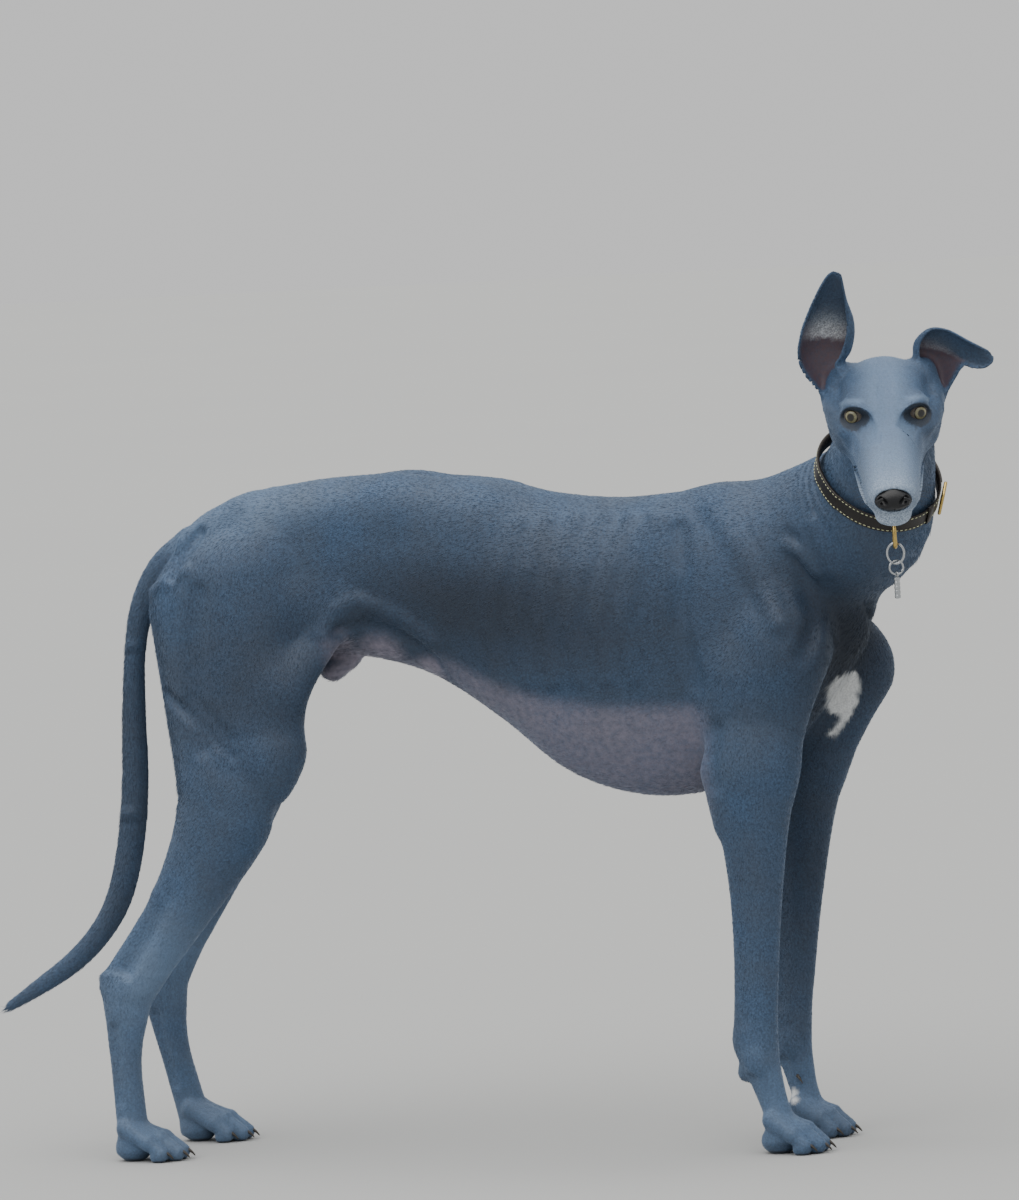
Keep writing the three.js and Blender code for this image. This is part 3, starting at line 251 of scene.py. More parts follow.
def torso_forms():
    forms = [sectioned(TORSO_ROWS, 30), limb((330, 0, 532), (384, 0, 566), 48, 24, 34)]
    for s in SIDES.values():
        forms += [
            limb((-110, 30 * s, 722), (-280, 34 * s, 716), 23, 25, 34),
            limb((-10, 34 * s, 708), (-120, 30 * s, 722), 23, 23, 34),
            egg((-312, 42 * s, 680), (58, 38, 46), 40),
            limb((250, 32 * s, 698), (346, 62 * s, 572), 28, 30, 36, 0.6),
            limb((205, 44 * s, 664), (300, 68 * s, 520), 36, 40, 40, 0.6),
        ]
    return forms + [limb((-194, -4, 556), (-214, -4, 545), 15, 18, 12)]


NECK_ROWS = [(262, 0, 634, 86), (350, -4, 662, 85), (427, -30, 698, 81), (466, -74, 756, 66), (488, -124, 812, 56)]
TAIL_ROWS = [
    (-374, 0, 684, 25), (-412, 0, 660, 20), (-440, 0, 620, 15), (-453, 0, 569, 12.5), (-459, 0, 499, 14),
    (-462, 0, 430, 15.5), (-471, 0, 360, 16), (-488, 0, 298, 15.5), (-513, 0, 255, 14), (-550, 0, 219, 12.5),
    (-599, 0, 188, 9.5), (-634, 0, 168, 6),
]
FOREARM_ROWS = [
    (14, 38, 4, 19, 20, 2), (40, 34, 1, 17, 18, 2), (60, 28, -6, 15.5, 12, 2), (78, 25, -13, 16, 8, 2),
    (93, 23, -20, 17.5, 2, 2), (120, 22, -30, 19, -3, 2.2), (150, 23, -27, 17.5, -1, 2.2), (190, 27, -24, 16.5, 2, 2.1),
    (240, 32, -22, 17.5, 6, 2.1), (300, 40, -23, 21, 9, 2.1), (350, 48, -28, 26, 10, 2.1), (395, 58, -36, 30, 10, 2.1),
    (432, 64, -38, 30, 12, 2.1), (462, 52, -24, 22, 14, 2.1), (482, 34, 0, 10, 16, 2.1),
]
CANNON_ROWS = [
    (12, 28, -16, 17.5, 4, 2), (42, 20, -17, 17, 1, 2), (75, 17, -18, 16.5, 0, 2.1), (104, 16, -19, 16.5, -1, 2.1),
    (135, 20, -21, 17.5, -1, 2.1), (155, 26, -22, 18.5, 0, 2.1), (176, 33, -24, 19.5, 2, 2.1),
    (196, 44, -26, 18, 6, 2.1), (210, 52, -24, 14, 10, 2.1),
]
SHANK_ROWS = [
    (-14, 14, -12, 9, 0, 2), (0, 21, -26, 13, -4, 2), (20, 23, -33, 14, -6, 2), (50, 25, -37, 14.5, -8, 2),
    (94, 30, -38, 17, -8, 2), (144, 33, -38, 24, -4, 2.1), (174, 42, -38, 30, 0, 2.1), (215, 66, -37, 36, 10, 2.1),
    (250, 78, -32, 38, 20, 2.1), (282, 70, -14, 30, 26, 2.1), (302, 52, 8, 14, 30, 2.1),
]


class Leg:
    def __init__(self, s, top, bend, line, lean, hock=None):
        self.s, self.top, self.bend, self.line, self.lean, self.hock = s, top, bend, line, lean, hock


HIND_LEGS = {
    "right": Leg(-1, (-322, -58, 634), (-266, -88, 419), (-462, -76), 0.0, (-464, -76, 200)),
    "left": Leg(1, (-346, 58, 634), (-338, 86, 424), (-444, 76), -0.2, (-485, 76, 200)),
}
FORE_LEGS = {
    "right": Leg(-1, (350, -68, 560), (276, -70, 415), (284, -62), 0.0),
    "left": Leg(1, (385, 66, 530), (292, 70, 415), (275, 62), 0.045),
}


def upright(x, y, lean_x, lean_y):
    return Axes((x, y, 0), (lean_x, lean_y, 1), (1, 0, 0))


def fore_axes(leg):
    return upright(*leg.line, leg.lean, 0.028 * leg.s)


def shank_axes(leg):
    return Axes(leg.hock, np.subtract(leg.bend, leg.hock), (-0.7, 0, 0.7))


def moved(p, *d):
    return np.add(p, d)


# Toes: sideways place and reach
TOES = [(-19, 36), (-7.5, 49), (7.5, 49), (19, 36)]
HIND_TOE_STRETCH = 1.16
TOE_RADIUS = 8.4


def toe_points(x, y, side, reach, stretch):
    return (np.array((x - 4, y + side * 0.7, 38.0)),
            np.array((x + reach * stretch * 0.6, y + side, 25.0 if abs(side) < 15 else 22.5)),
            np.array((x + reach * stretch * 0.98, y + side * 1.08, 10.0)))


def fore_paw(leg):
    return leg.line[0] + 16, leg.line[1], 1.0


def hind_paw(leg):
    return leg.line[0] + 2, leg.line[1], HIND_TOE_STRETCH


def paw_forms(x, y, stretch):
    forms = []
    for side, reach in TOES:
        base, knuckle, tip = toe_points(x, y, side, reach, stretch)
        forms += [
            limb(base, knuckle, 11, TOE_RADIUS + 1.2, 6), limb(knuckle, tip, TOE_RADIUS + 1.0, TOE_RADIUS - 0.8, 3),
            limb((tip[0] - 7, tip[1], 6.6), (tip[0] - 1, tip[1], 6.6), 7.6, 7, 3),
        ]
    return forms + [egg((x, y, 14), (20, 19, 16), 8)]


def hind_leg_forms(leg):
    s, hip, stifle = leg.s, leg.top, leg.bend
    axes = shank_axes(leg)

    def at(t, out, back):
        return axes.at((t, out * s, back))

    return [
        limb(moved(hip, 34, 2 * s, 18), moved(stifle, 8, -6 * s, 44), 46, 37, 34, 0.7),
        limb((-172, 54 * s, 612), moved(stifle, 28, -2 * s, 104), 12, 22, 28, 0.6),
        limb((-186, 50 * s, 622), moved(hip, 40, 4 * s, -24), 14, 34, 30, 0.6),
        limb(moved(hip, -6, 10 * s, 0), moved(stifle, -36, -2 * s, 40), 60, 50, 34, 0.62),
        limb(moved(hip, -34, 6 * s, -20), moved(stifle, -74, 2 * s, 12), 46, 34, 34, 0.62),
        egg(moved(stifle, 0, 0, 14), (28, 24, 36), 26),
        sectioned(SHANK_ROWS, 20, axes),
        limb(at(250, 4, 0), at(18, 4, -18), 27, 15, 14, 0.8),
        limb(at(215, 2, 38), at(120, 0, 20), 30, 14, 20, 0.72),
        limb(at(120, 0, 22), at(-4, 0, 14), 9, 8, 8),
        sectioned(CANNON_ROWS, 14, upright(*leg.line, leg.lean, 0)),
        *paw_forms(*hind_paw(leg)),
    ]


def fore_leg_forms(leg):
    s, shoulder, elbow = leg.s, leg.top, leg.bend
    axes = fore_axes(leg)
    return [
        egg(moved(shoulder, -10, 0, 0), (34, 24, 42), 40),
        limb(moved(shoulder, -10, 0, -10), moved(elbow, 30, 0, 4), 45, 37, 30, 0.62),
        limb(moved(shoulder, -64, -2 * s, -36), moved(elbow, 0, 0, 20), 43, 29, 30, 0.6),
        limb(moved(elbow, -24, 0, 4), moved(elbow, -12, 0, -50), 12, 13, 18),
        sectioned(FOREARM_ROWS, 18, axes),
        egg(axes.at((90, 0, -19)), (11, 8, 8), 8, axes),
        *paw_forms(*fore_paw(leg)),
    ]


# Head, in its own frame between the eyes
HEAD = Axes((514, -210, 811.5), (0.29, -0.8375, -0.454))
SKULL_ROWS = [
    (-118, -4, -26, 16, -14, 2.0), (-106, 9, -46, 34, -16, 2.1), (-80, 20, -58, 50, -16, 2.2), (-50, 25, -64, 56, -16, 2.3),
    (-22, 23, -62, 53.5, -17, 2.3), (0, 16, -58, 47, -20, 2.3), (16, 8, -58, 41, -24, 2.25), (40, 0, -58, 36, -30, 2.3),
    (66, -7, -58, 32.5, -34, 2.4), (90, -13, -59, 30, -38, 2.5), (104, -17, -60, 28, -40, 2.4),
    (114, -22, -58, 24, -40, 2.2), (121, -30, -50, 15, -40, 2.0),
]


def head_forms():
    forms = [sectioned(SKULL_ROWS, 14, HEAD)]
    for s in SIDES.values():
        def at(x, y, z):
            return HEAD.at((x, y * s, z))
        forms += [
            egg(at(-46, 46, -30), (36, 14, 30), 18, HEAD), limb(at(0, 42, -18), at(-62, 54, -12), 9, 10, 14),
            limb(at(-62, 34, -46), at(60, 16, -62), 15, 11, 14), limb(at(60, 16, -62), at(100, 9, -62), 11, 9, 10),
            limb(at(10, 26, 9), at(-14, 38, 9), 7, 8, 12), egg(at(*EYE_PLACE), (15, 15, 15), 8, HEAD),
            egg(at(-82, 44, 2), (20, 15, 18), 16, HEAD),
        ]
    return forms + [egg(HEAD.at((102, 0, -64)), (16, 17, 9), 8, HEAD)]


def eye_axes(s):
    return Axes(HEAD.at((EYE_PLACE[0], EYE_PLACE[1] * s, EYE_PLACE[2])),
                HEAD.dir((EYE_GAZE[0], EYE_GAZE[1] * s, EYE_GAZE[2])), HEAD.rows[2])


def nose_forms():
    forms = [egg(HEAD.at((115, 0, -37)), (11, 20, 11), 4, HEAD), limb(HEAD.at((104, 0, -34)), HEAD.at((112, 0, -36)), 11, 12.5, 4)]
    for s in SIDES.values():
        forms.append(carved(limb(HEAD.at((127, 8 * s, -36)), HEAD.at((119, 13 * s, -33)), 4, 2.6, 2)))
    return forms


# Ears: outer edge and inner edge in the head's frame, how deep the cup is, and how far its inner wall rolls out
EAR_ROWS = {
    "right": [
        (-60, -67.4, -1.7, -66, -45.8, 18.5, 16, 10), (-64, -82.9, 20.6, -70, -49.2, 25.3, 20, 15),
        (-70, -88.4, 38.2, -74, -43.0, 34.3, 22, 17), (-76, -83.8, 62.3, -80, -36.2, 51.0, 20, 14),
        (-82, -75.8, 81.9, -85, -34.1, 68.6, 15, 10), (-86, -65.9, 102.3, -88, -35.2, 90.4, 10, 3),
        (-89, -55.4, 120.3, -90, -36.9, 109.8, 5, 0), (-90, -48.2, 127.4, -91, -38.9, 123.4, 1.5, 0),
    ],
    "left": [
        (-60, 68.0, -10.8, -66, 56.9, -9.1, 14, -4), (-62, 77.5, 5.1, -72, 44.9, 6.0, 19, -8),
        (-64, 84.3, 15.2, -78, 40.7, 23.5, 20, -9), (-64, 89.6, 19.3, -82, 42.8, 40.2, 16, -8),
        (-62, 97.0, 17.0, -82, 54.7, 54.9, 10, -4), (-60, 108.4, 17.3, -78, 72.4, 55.1, 6, -2),
        (-60, 116.7, 22.1, -70, 93.3, 45.0, 3, 0), (-62, 119.0, 26.7, -64, 114.3, 34.6, 1, 0),
    ],
}
EAR_THICKNESS = 3.6
EAR_SINK = 0.09


def ear_points(side, u, v):
    """Points of the ear's middle sheet: u from root to tip, v from the outer to the inner edge."""
    rows = np.array(EAR_ROWS[side], float)
    keys = np.linspace(0, 1, len(rows))
    value = [table_curve(np.maximum(u, 0), keys, rows[:, k]) for k in range(8)]
    t = ((1 + np.sin(v * math.pi / 2)) / 2)[:, None]
    edge = np.stack(value[0:3], 1) * (1 - t) + np.stack(value[3:6], 1) * t
    root = np.minimum(u, 0) / EAR_SINK
    edge[:, 0] -= value[6] * (1 - v * v)
    edge[:, 1] += value[7] * 2.2 * (1 - v * v) * np.maximum(v, 0)
    edge[:, 1] *= 1 + 0.12 * root
    edge[:, 2] += 14 * root
    return HEAD.at(edge)


class Ear:
    """The cupped leaf of one ear as a thin sheet, with its distance and its own places."""

    def __init__(self, side, along=64, across=44):
        grid = np.stack(np.meshgrid(np.linspace(-EAR_SINK, 1, along), np.linspace(-1, 1, across), indexing="ij"), -1)
        self.uv = grid.reshape(-1, 2)
        self.points = ear_points(side, self.uv[:, 0], self.uv[:, 1])
        i, j = (k.ravel() for k in np.meshgrid(np.arange(along - 1), np.arange(across - 1), indexing="ij"))
        a = i * across + j
        self.faces = np.stack([a, a + 1, a + across + 1, a + across], 1)
        self.tree = BVHTree.FromPolygons(self.points.tolist(), self.faces.tolist())
        self.low, self.high = self.points.min(0) - 9, self.points.max(0) + 9

    def distance(self, points):
        value = np.full(len(points), 60.0)
        inside = np.flatnonzero(((points > self.low) & (points < self.high)).all(1))
        for i in inside:
            place, _, face, d = self.tree.find_nearest(points[i])
            u, v = self.uv[self.faces[face][0]]
            value[i] = d - EAR_THICKNESS / 2 * (1 - 0.4 * max(v * v, u ** 6))
        return value

    def places(self, points):
        """Where each near point lies on the ear, and on which side of the sheet."""
        found = np.full((len(points), 3), np.nan)
        for i in np.flatnonzero(((points > self.low) & (points < self.high)).all(1)):
            place, normal, face, d = self.tree.find_nearest(points[i])
            u, v = self.uv[self.faces[face][0]]
            found[i] = u, v, (Vector(points[i]) - place).dot(normal) if d < 6 else np.nan
        return found


# Meshing: surface nets on a grid whose lines lie closer together round the head
def grid_line(stops):
    """Grid places from rows of start, end and spacing."""
    parts = [np.linspace(a, b, max(2, int(round((b - a) / step)) + 1))[:-1] for a, b, step in stops]
    line = np.concatenate([*parts, [stops[-1][1]]])
    extra = (-len(line) + 1) % 8
    return np.concatenate([line, line[-1] + (line[-1] - line[-2]) * np.arange(1, extra + 1)])


def net_surface(forms, lines, extra=(), floor=True, reach=1.6):
    """Points and quads of the surface where the joined forms reach zero."""
    blocks = [len(line) // 8 for line in lines]
    order = np.stack(np.meshgrid(*[np.arange(n) for n in blocks], indexing="ij"), -1).reshape(-1, 3)
    low = np.stack([lines[k][order[:, k] * 8] for k in range(3)], 1)
    high = np.stack([lines[k][order[:, k] * 8 + 8] for k in range(3)], 1)
    center, half = (low + high) / 2, np.linalg.norm(high - low, axis=1) / 2
    value = field_at(center, forms, floor)
    near = np.abs(value) < half * reach + 5
    for sheet in extra:
        near |= ((high > sheet.low) & (low < sheet.high)).all(1)
    order, low, high = order[near], low[near], high[near]
    steps = np.stack(np.meshgrid(*[np.arange(9)] * 3, indexing="ij"), -1).reshape(-1, 3)
    index = order[:, None, :] * 8 + steps[None]
    points = np.stack([lines[k][index[..., k]] for k in range(3)], -1)
    value = np.full(points.shape[:2], 60.0)
    for form in forms:
        act = np.flatnonzero(((high > form.low - 12) & (low < form.high + 12)).all(1))
        if len(act):
            d = form.distance(points[act].reshape(-1, 3)).reshape(len(act), -1)
            value[act] = join(value[act], form, d)
    if floor:
        value = np.maximum(value, -points[..., 2])
    for sheet in extra:
        act = np.flatnonzero(((high > sheet.low) & (low < sheet.high)).all(1))
        d = sheet.distance(points[act].reshape(-1, 3)).reshape(len(act), -1)
        value[act] = smooth_min(value[act], d, EAR_BLEND)
    value = value.reshape(-1, 9, 9, 9)
    sign = value < 0
    total = sum(sign[:, a:a + 8, b:b + 8, c:c + 8].astype(int) for a in (0, 1) for b in (0, 1) for c in (0, 1))
    block, ci, cj, ck = np.nonzero((total > 0) & (total < 8))
    cell = np.stack([ci, cj, ck], 1)
    size = [len(line) for line in lines]
    grid = order[block] * 8 + cell

    def key(g):
        return (g[:, 0] * size[1] + g[:, 1]) * size[2] + g[:, 2]

    keys = key(grid)
    rank = np.argsort(keys)
    sorted_keys = keys[rank]
    net, count = np.zeros((len(cell), 3)), np.zeros(len(cell))
    quads = []
    for axis in range(3):
        others = [k for k in range(3) if k != axis]
        for b in (0, 1):
            for c in (0, 1):
                start = cell.copy()
                start[:, others[0]] += b
                start[:, others[1]] += c
                end = start.copy()
                end[:, axis] += 1
                g0, g1 = value[(block, *start.T)], value[(block, *end.T)]
                cross = (g0 < 0) != (g1 < 0)
                t = np.where(cross, g0 / np.where(cross, g0 - g1, 1), 0)
                base = order[block] * 8 + start
                place = np.stack([lines[k][base[:, k]] for k in range(3)], 1)
                step = lines[axis][np.minimum(base[:, axis] + 1, size[axis] - 1)] - place[:, axis]
                place[:, axis] += t * step
                net[cross] += place[cross]
                count[cross] += 1
                if b == 0 and c == 0:
                    edge, inward = np.flatnonzero(cross), g0[cross] < 0
        ring = []
        for b, c in ((0, 0), (1, 0), (1, 1), (0, 1)):
            g = grid[edge].copy()
            g[:, others[0]] -= b
            g[:, others[1]] -= c
            wanted = key(g)
            spot = np.minimum(np.searchsorted(sorted_keys, wanted), len(rank) - 1)
            ring.append(np.where(sorted_keys[spot] == wanted, rank[spot], -1))
        ring = np.stack(ring, 1)
        whole = (ring >= 0).all(1)
        ring, turn = ring[whole], inward[whole] ^ (axis == 1)
        ring[~turn] = ring[~turn][:, ::-1]
        quads.append(ring)
    return net / count[:, None], np.concatenate(quads)


def neighbours_mean(points, faces):
    total, count = np.zeros_like(points), np.zeros(len(points))
    width = faces.shape[1]
    for k in range(width):
        for m in (1, width - 1):
            other = faces[:, (k + m) % width]
            for axis in range(3):
                total[:, axis] += np.bincount(faces[:, k], points[other, axis], len(points))
            count += np.bincount(faces[:, k], minlength=len(points))
    return total / np.maximum(count, 1)[:, None]


def settle(points, value, steps=2, limit=2.0, eps=0.4):
    """Moves points onto the surface along its slope."""
    for _ in range(steps):
        here = value(points)
        slope = np.stack([(value(points + d) - here) / eps for d in np.eye(3) * eps], 1)
        move = -(here / np.maximum((slope ** 2).sum(1), 0.05))[:, None] * slope
        size = np.linalg.norm(move, axis=1)
        points = points + move * np.minimum(1, limit / np.maximum(size, 1e-9))[:, None]
    return points


def relaxed(points, faces, value, rounds, amount=0.5):
    for _ in range(rounds):
        points = settle(points * (1 - amount) + neighbours_mean(points, faces) * amount, value, 1)
    return points


# Finer forms that only the skin has
EAR_BLEND = 7.0
SKIN_DEPTH = 0.7
LID_RADIUS = 13.5


def path_form(path, radius, blend, carve=False):
    """A soft cord along points, raised from the surface or pressed into it."""
    path = np.asarray(path, float)
    radius = np.broadcast_to(np.asarray(radius, float), len(path))

    def distance(points):
        best = np.full(len(points), 60.0)
        for a, b, ra, rb in zip(path[:-1], path[1:], radius[:-1], radius[1:]):
            d = b - a
            t = np.clip((points - a) @ d / (d @ d), 0, 1)
            best = np.minimum(best, np.linalg.norm(points - a - t[:, None] * d, axis=1) - ra - (rb - ra) * t)
        return best

    return Form(distance, path.min(0) - radius.max(), path.max(0) + radius.max(), blend, carve)


def side_path(value, places, s, sink):
    """Points under the body's side surface at rows of x and z, found from outside; sink is how deep."""
    x, z = np.array(places, float).T
    steps = np.linspace(190, 0, 381)
    outer = np.zeros(len(x))
    for i in range(len(x)):
        line = np.stack([np.full(381, x[i]), s * steps, np.full(381, z[i])], 1)
        hit = np.flatnonzero(value(line) < 0)
        outer[i] = steps[hit[0]] if len(hit) else 20
    return np.stack([x, s * (outer - sink), z], 1)


RIB_ROWS = [[(x + 30, 700), (x + 12, 650), (x - 6, 590), (x + 2, 530)] for x in (10, 42, 74, 106, 138, 168)]
RIDGES = [  # rows of x and z on both sides, width of the ridge, how far its line lies under the surface
    ([(258, 712), (292, 672), (322, 624), (344, 584)], 8.0, 6.0),
    ([(-296, 728), (-322, 712), (-352, 694)], 11.0, 8.5),
]
GROOVES = [
    ([(-330, 640), (-338, 580), (-340, 520), (-330, 470)], 10.0, -6.0),
    ([(226, 690), (232, 640), (226, 580), (238, 520)], 11.0, -7.5),
    ([(356, 672), (372, 632), (382, 590), (372, 548)], 9.0, -4.0),
    ([(262, 470), (256, 440), (258, 410)], 7.0, -4.0),
]


NEAR_RIDGES = [  # the folds that only the turned side has: neck, flank and back of the thigh
    ([(352, 668), (366, 660), (382, 640)], 6.0, 4.2),
    ([(386, 690), (396, 668), (402, 640)], 6.0, 4.2),
    ([(-196, 586), (-180, 612), (-156, 622), (-128, 614), (-98, 598), (-70, 576)], 7.0, 4.5),
    ([(-388, 642), (-366, 654), (-346, 664)], 6.0, 4.4),
]
NEAR_GROOVES = [
    ([(-176, 588), (-150, 594), (-122, 586), (-96, 570), (-74, 550)], 7.0, -3.2),
    ([(-378, 528), (-336, 496), (-296, 460)], 5.5, -3.6),
    ([(-340, 524), (-316, 496), (-296, 476)], 5.0, -3.4),
    ([(-334, 706), (-350, 684), (-362, 660)], 6.0, -3.4),
]


def body_detail(flesh):
    def value(points):
        return field_at(points, flesh)

    forms = []
    for s in SIDES.values():
        for rib in RIB_ROWS:
            forms.append(path_form(side_path(value, rib, s, 6.6), 7.0, 11))
        for places, radius, sink in RIDGES:
            forms.append(path_form(side_path(value, places, s, sink), radius, 16))
        for places, radius, sink in GROOVES:
            forms.append(path_form(side_path(value, places, s, sink), radius, 12, carve=True))
    for leg in HIND_LEGS.values():
        axes = shank_axes(leg)
        for out in (-1, 1):
            hollow = [axes.at((t, out * wide, back)) for t, wide, back in ((24, 19, 2), (70, 23, 6), (124, 29, 14))]
            forms.append(path_form(hollow, [8.5, 10, 8], 9, carve=True))
        line = upright(*leg.line, leg.lean, 0)
        for out in (-1, 1):
            groove = [line.at((t, out * 20.5, -8)) for t in (150, 110, 70)]
            forms.append(path_form(groove, 6.5, 6, carve=True))
    for leg in FORE_LEGS.values():
        axes = fore_axes(leg)
        for out in (-1, 1):
            forms.append(path_form([axes.at((t, out * w, b)) for t, w, b in
                                    ((300, 28, -8), (220, 24, -8), (150, 23, -10))], [8, 7, 5], 8, carve=True))
            forms.append(egg(axes.at((104, out * 14, -2)), (15, 7, 11), 9, axes))
            forms.append(path_form([axes.at((t, out * 17, -6)) for t in (84, 60, 44)], 4.5, 6, carve=True))
    forms.append(path_form([(-330, 0, 746), (-240, 0, 768), (-140, 0, 772), (-60, 0, 767)], 12, 14, carve=True))
    for places, radius, sink in NEAR_RIDGES:
        forms.append(path_form(side_path(value, places, -1, sink), radius, 12))
    for places, radius, sink in NEAR_GROOVES:
        forms.append(path_form(side_path(value, places, -1, sink), radius, 8, carve=True))
    return forms


def lid_opening(s):
    """The almond between the lids, cut from just inside the eyeball outwards."""
    axes = eye_axes(s)

    def distance(points):
        q = axes.local(points)
        rho = np.linalg.norm(q, axis=1) + 1e-6
        side = np.arctan2(q[:, 1] * s, q[:, 0]) * EYE_RADIUS
        lift = np.arctan2(q[:, 2], np.hypot(q[:, 0], q[:, 1])) * EYE_RADIUS + 0.08 * side
        wide = np.where(side > 0, 10.4, 11.2)
        tall = np.where(lift > 0, 7.2, 6.3)
        r = ((np.abs(side) / wide) ** 1.75 + (np.abs(lift) / tall) ** 2) ** 0.52
        d = np.maximum((r - 1) * 6.5, EYE_RADIUS - 1.6 - rho)
        return np.where(q[:, 0] > 0, d, 30.0)

    return Form(distance, axes.origin - 22, axes.origin + 22, 1.3, carve=True)


def mouth_path(value, count=33):
    """The line of the closed mouth, round the front of the muzzle and back along both sides."""
    points = []
    for t in np.linspace(-1, 1, count):
        turn = np.clip(abs(t) / 0.4, 0, 1) * math.pi / 2 * np.sign(t)
        back = np.clip((abs(t) - 0.4) / 0.6, 0, 1)
        middle = np.array((96 - 76 * back, 0, -51 - 1.5 * math.cos(turn) + 7 * back * back))
        out = np.array((math.cos(turn), math.sin(turn), 0))
        line = HEAD.at(middle + np.linspace(0, 60, 241)[:, None] * out)
        inside = np.flatnonzero(value(line) < 0)
        points.append(line[inside[-1]] if len(inside) else line[80])
    return np.array(points)


def head_detail(head):
    def value(points):
        return field_at(points, head, floor=False)

    forms = []
    for s in SIDES.values():
        def at(x, y, z):
            return HEAD.at((x, y * s, z))
        forms += [
            carved(egg(at(-34, 50, 8), (20, 6, 9), 12, HEAD)),
            path_form([at(24, 46, -24), at(2, 54, -28), at(-30, 62, -36)], [1.4, 2.4, 2.4], 11, carve=True),
            path_form([at(104, 14, -50), at(84, 25, -54), at(56, 29, -54), at(26, 33, -50)], [4, 5, 5, 4], 8),
            path_form([at(100, 8, -64), at(70, 18, -66), at(30, 26, -64)], [5, 6, 6], 7),
            path_form([at(10, 20, 6), at(3, 29, 11), at(-8, 38, 11), at(-20, 46, 5)], [2.6, 3.4, 3.4, 2.6], 6),
        ]
    forms.append(path_form([HEAD.at((30, 0, 9)), HEAD.at((0, 0, 22)), HEAD.at((-40, 0, 32))], [3, 5, 4], 9, carve=True))
    forms.append(path_form(mouth_path(value), 1.6, 1.2, carve=True))
    for s in SIDES.values():
        ball = egg(eye_axes(s).origin, (LID_RADIUS,) * 3, 3, HEAD)
        forms += [ball, lid_opening(s)]
    forms.append(carved(egg(HEAD.at((118, 0, -36)), (10, 19, 12), 1.5, HEAD)))
    return forms


def flesh_groups():
    groups = {"torso": torso_forms(), "neck": [bent_tube(NECK_ROWS, 28, 0.84)], "tail": [bent_tube(TAIL_ROWS, 16, 0.85)]}
    for side in SIDES:
        groups["hind_" + side] = hind_leg_forms(HIND_LEGS[side])
        groups["fore_" + side] = fore_leg_forms(FORE_LEGS[side])
    groups["head"] = head_forms()
    return groups


class Body:
    """The whole field, the ears, and where any point of the surface lies."""

    def __init__(self):
        self.groups = flesh_groups()
        flesh = [form for name in ("torso", "neck", "tail", "hind_right", "hind_left", "fore_right", "fore_left", "head")
                 for form in self.groups[name]]
        self.forms = flesh + body_detail(flesh) + head_detail(self.groups["head"])
        self.mouth = mouth_path(lambda points: field_at(points, self.groups["head"], floor=False))
        self.ears = [Ear(side) for side in SIDES]

    def value(self, points):
        value = field_at(points, self.forms)
        for ear in self.ears:
            near = np.flatnonzero(((points > ear.low) & (points < ear.high)).all(1))
            if len(near):
                value[near] = smooth_min(value[near], ear.distance(points[near]), EAR_BLEND)
        return np.maximum(value + SKIN_DEPTH * self.depth(points), -points[:, 2])

    def depth(self, points):
        """How much of the coat's depth the skin lies under the solids: less on ears, face and soles."""
        thin = smooth(12, 40, points[:, 2])
        for ear in self.ears:
            thin = np.where(((points > ear.low) & (points < ear.high)).all(1), 0.2, thin)
        return thin


GRID = [
    [(-664, -470, 4.0), (-470, -380, 4.0), (-380, 200, 5.0), (200, 390, 4.4), (390, 448, 2.6), (448, 592, 1.5), (592, 680, 2.0)],
    [(-336, -250, 1.9), (-250, -120, 1.6), (-120, -40, 3.4), (-40, 40, 4.2), (40, 152, 3.6)],
    [(-6, 62, 2.6), (62, 230, 4.0), (230, 690, 5.0), (690, 760, 2.6), (760, 900, 1.5), (900, 984, 1.8)],
]


# Markings and painted light and shade: the same numbers colour the skin and the roots of the coat
CHEST_PLACE = Axes((372, 31, 496), (0.34, -0.94, 0.05))
CHEST_EDGES = [  # height of a row, left and right edge of the white there, as seen from the front of the side
    (24, 7, 14), (19, -8, 17), (10, -16, 19), (0, -18, 18), (-10, -18, 17), (-20, -16, 11), (-25, -3, 8), (-36, -9, 1), (-46, -18, -9),
]
PASTERN_SPOT = [((281, 49, 50), 6), ((286, 43, 42), 5)]
BELLY_PINK = [((-198, -48, 572), 26), ((-140, -42, 556), 26), ((-84, -38, 536), 20), ((-170, 0, 540), 44), ((-100, 0, 528), 40),
              ((-225, 0, 560), 50), ((-170, 46, 560), 30)]
# Painted light and shade over the body: highlight on the top of the rump, shade on the ribs, flank, thigh, chest, tail,
# far foreleg and elbow; the hocks and lower legs have paler hair
PAINTED_LIGHT_AND_TONE = [  # centre, reach along each axis, how much paler or darker the coat is painted there
    ((-310, 0, 720), (130, 120, 60), 0.12), ((60, 0, 590), (210, 300, 85), -0.34), ((-280, 0, 530), (120, 300, 100), -0.3),
    ((-60, 0, 640), (160, 300, 60), -0.2),
    ((385, 0, 570), (75, 110, 110), -0.5), ((-520, 0, 480), (80, 160, 220), -0.32), ((-370, 0, 200), (110, 200, 70), 0.22),
    ((-280, 0, 40), (200, 260, 90), 0.14), ((300, 0, 60), (120, 260, 70), 0.08), ((310, 60, 330), (70, 40, 160), -0.3), ((250, -70, 400), (120, 60, 200), -0.1),
]
MARKS = ("white", "grizzle", "pink", "dark", "ear_in", "ear_tuft", "sole", "rim", "painted_light_and_tone")


def spots(points, rows, soft=0.35):
    value = np.zeros(len(points))
    for center, radius in rows:
        d = np.linalg.norm(points - np.array(center, float), axis=1) / radius
        value = np.maximum(value, 1 - smooth(1 - soft, 1 + soft, d))
    return value


